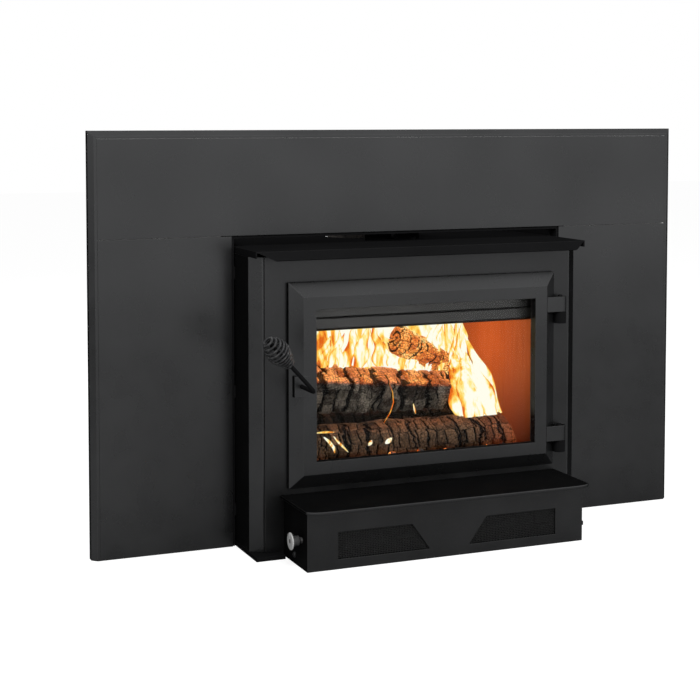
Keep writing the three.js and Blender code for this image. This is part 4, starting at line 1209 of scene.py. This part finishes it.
def buildLicks(look):
    corners, faces, hearts = [], [], []
    for lick in look.values():
        points = [Vector(point) for point in lick["path"]]
        path = []
        for i in range(len(points) - 1):
            for k in range(6):
                path.append(points[i].lerp(points[i + 1], k / 6))
        path.append(points[-1])
        rings = []
        for i, ring in enumerate(tubeRings(path, lick["width"], 10, Vector((0, -1, 0)))):
            t = i / (len(path) - 1)
            swell = max(0.08, math.sin(math.pi * min(max(t * 0.9 + 0.06, 0), 1)) ** 0.8)
            rings.append([path[i] + (point - path[i]) * swell for point in ring])
            hearts.extend([lick["heart"]] * len(ring))
        skinRings(rings, corners, faces)
    material = makeFlame("lickFire", flameLook, lickColour["white"], lickColour["wide"])
    addPiece("smallFlames", meshFrom("smallFlames", corners, faces, {"heart": hearts}), material, "root")


buildLicks(licks)
print("flames drawn")


# ash over the floor bricks, heaped round the logs, with coals in it
bed = {
    "x": (-0.248, 0.248),
    "y": (-0.066, 0.236),
    "columns": 150,
    "rows": 92,
    "rim": 8,
    "floor": 0.1503,
    "height": 0.012,
    "thin": 0.0006,
    "coals": 90,
    "coalSize": (0.004, 0.011),
    "coalHalf": 0.235,
    "coalRows": [(-0.062, -0.05), (0.02, 0.05), (0.13, 0.22)],
    "seed": 12,
}


def buildBed(look):
    columns, rows = look["columns"], look["rows"]
    corners, faces = [], []
    for layer in (1, 0):
        for i in range(rows + 1):
            for j in range(columns + 1):
                x = look["x"][0] + (look["x"][1] - look["x"][0]) * j / columns
                y = look["y"][0] + (look["y"][1] - look["y"][0]) * i / rows
                rim = min(i, rows - i, j, columns - j) / look["rim"]
                lump = 0.5 + 0.6 * noise.noise(Vector((x * 16, y * 16, 4)))
                lump += 0.3 * noise.noise(Vector((x * 60, y * 60, 9)))
                height = look["thin"] + look["height"] * max(lump, 0.05) * min(rim, 1) if layer else 0.0
                corners.append((x, y, look["floor"] + height))
    wide = columns + 1
    under = wide * (rows + 1)
    for i in range(rows):
        for j in range(columns):
            here = i * wide + j
            below = under + here
            faces.append((here, here + 1, here + wide + 1, here + wide))
            faces.append((below, below + wide, below + wide + 1, below + 1))
    rim = [j for j in range(columns)] + [i * wide + columns for i in range(rows)]
    rim += [rows * wide + j for j in range(columns, 0, -1)] + [i * wide for i in range(rows, 0, -1)]
    for k, here in enumerate(rim):
        there = rim[(k + 1) % len(rim)]
        faces.append((here, under + here, under + there, there))
    addPiece("ashBed", meshFrom("ashBed", corners, faces), finishes["ash"], "root")


def strewCoals(look):
    picker = random.Random(look["seed"])
    stones = bmesh.new()
    for _ in range(look["coals"]):
        size = picker.uniform(*look["coalSize"])
        x = picker.uniform(-look["coalHalf"], look["coalHalf"])
        y = picker.choice([picker.uniform(*band) for band in look["coalRows"]])
        place = Matrix.Translation((x, y, look["floor"] + size * 0.75 + 0.004))
        angle = picker.uniform(0, 6)
        axis = Vector((picker.random(), picker.random(), 1)).normalized()
        turn = Matrix.Rotation(angle, 4, axis)
        shape = Matrix.Diagonal((size, size * picker.uniform(0.6, 0.9), size * picker.uniform(0.5, 0.8), 1))
        matrix = place @ turn @ shape
        made = bmesh.ops.create_icosphere(stones, subdivisions=2, radius=1, matrix=matrix)
        for corner in made["verts"]:
            spot = corner.co * 240
            dent = Vector((noise.noise(spot), noise.noise(spot + Vector((9, 0, 0))), 0))
            corner.co += dent * size * 0.35
    mesh = bpy.data.meshes.new("liveCoals")
    stones.to_mesh(mesh)
    stones.free()
    addPiece("liveCoals", mesh, finishes["ember"], "root")


buildBed(bed)
strewCoals(bed)
print("ash and coals laid")


# plain studio: soft lamps, white all round, a pale floor that keeps the shadow; one lamp is the fire's light
studio = {
    "roomLight": 0.32,
    "white": 1.0,
    "floorColour": (0.5, 0.5, 0.5),
    "floorGlow": 0.82,
    "floorFront": -3.2,
    "floorHalf": 14.0,
    "lamps": [
        {
            "name": "keyLamp", "at": (-0.5, -2.4, 2.6), "aim": (0, 0, 0.5),
            "size": 1.6, "power": 55, "colour": (1, 1, 1),
        },
        {
            "name": "sideLamp", "at": (2.6, -1.6, 1.6), "aim": (0, 0, 0.4),
            "size": 1.6, "power": 20, "colour": (1, 1, 1),
        },
        {
            "name": "rearLamp", "at": (-1.6, 2.6, 2.2), "aim": (0, 0.1, 0.4),
            "size": 1.8, "power": 45, "colour": (1, 1, 1),
        },
        {
            "name": "fireGlow", "at": (0.02, 0.09, 0.425), "aim": (0.02, 0.01, 0.2),
            "size": 0.2, "power": 2.2, "colour": (1, 0.36, 0.09),
        },
    ],
}


def litWorld(look):
    world = bpy.data.worlds.new("studioWorld")
    bpy.context.scene.world = world
    world.use_nodes = True
    tree = world.node_tree
    tree.nodes.clear()
    path = addNode(tree, "LightPath")
    seen = plus(tree, path.outputs["Is Camera Ray"], path.outputs["Is Glossy Ray"], True)
    seen = plus(tree, seen, path.outputs["Is Transmission Ray"], True)
    room = addNode(tree, "Background", {"Color": (1, 1, 1), "Strength": look["roomLight"]})
    white = addNode(tree, "Background", {"Color": (1, 1, 1), "Strength": look["white"]})
    mixed = addNode(tree, "MixShader", {0: seen, 1: room.outputs[0], 2: white.outputs[0]})
    out = addNode(tree, "OutputWorld")
    tree.links.new(mixed.outputs[0], out.inputs["Surface"])


def paleFloor(look):
    half = look["floorHalf"]
    front = look["floorFront"]
    corners = [(-half, front, 0), (half, front, 0), (half, half, 0), (-half, half, 0)]
    mesh = meshFrom("studioFloor", corners, [(0, 1, 2, 3)])
    floor = addObject("studioFloor", mesh)
    material = bpy.data.materials.new("studioFloor")
    material.use_nodes = True
    tree = material.node_tree
    tree.nodes.clear()
    path = addNode(tree, "LightPath")
    seen = plus(tree, path.outputs["Is Camera Ray"], path.outputs["Is Transmission Ray"], True)
    strength = times(tree, seen, look["floorGlow"])
    matt = addNode(tree, "BsdfDiffuse", {"Color": look["floorColour"]})
    glow = addNode(tree, "Emission", {"Strength": strength})
    both = addNode(tree, "AddShader", {0: matt.outputs[0], 1: glow.outputs[0]})
    out = addNode(tree, "OutputMaterial")
    tree.links.new(both.outputs[0], out.inputs["Surface"])
    mesh.materials.append(material)


def hangLamp(look):
    data = bpy.data.lights.new(look["name"], "AREA")
    data.shape = "SQUARE"
    data.size = look["size"]
    data.energy = look["power"]
    data.color = look["colour"]
    lamp = addObject(look["name"], data)
    lamp.location = look["at"]
    aim = Vector(look["aim"]) - Vector(look["at"])
    lamp.rotation_mode = "QUATERNION"
    lamp.rotation_quaternion = aim.to_track_quat("-Z", "Y")
    lamp.visible_camera = False
    lamp.visible_glossy = False
    lamp.visible_transmission = False


litWorld(studio)
paleFloor(studio)
for lampLook in studio["lamps"]:
    hangLamp(lampLook)
print("studio lit")
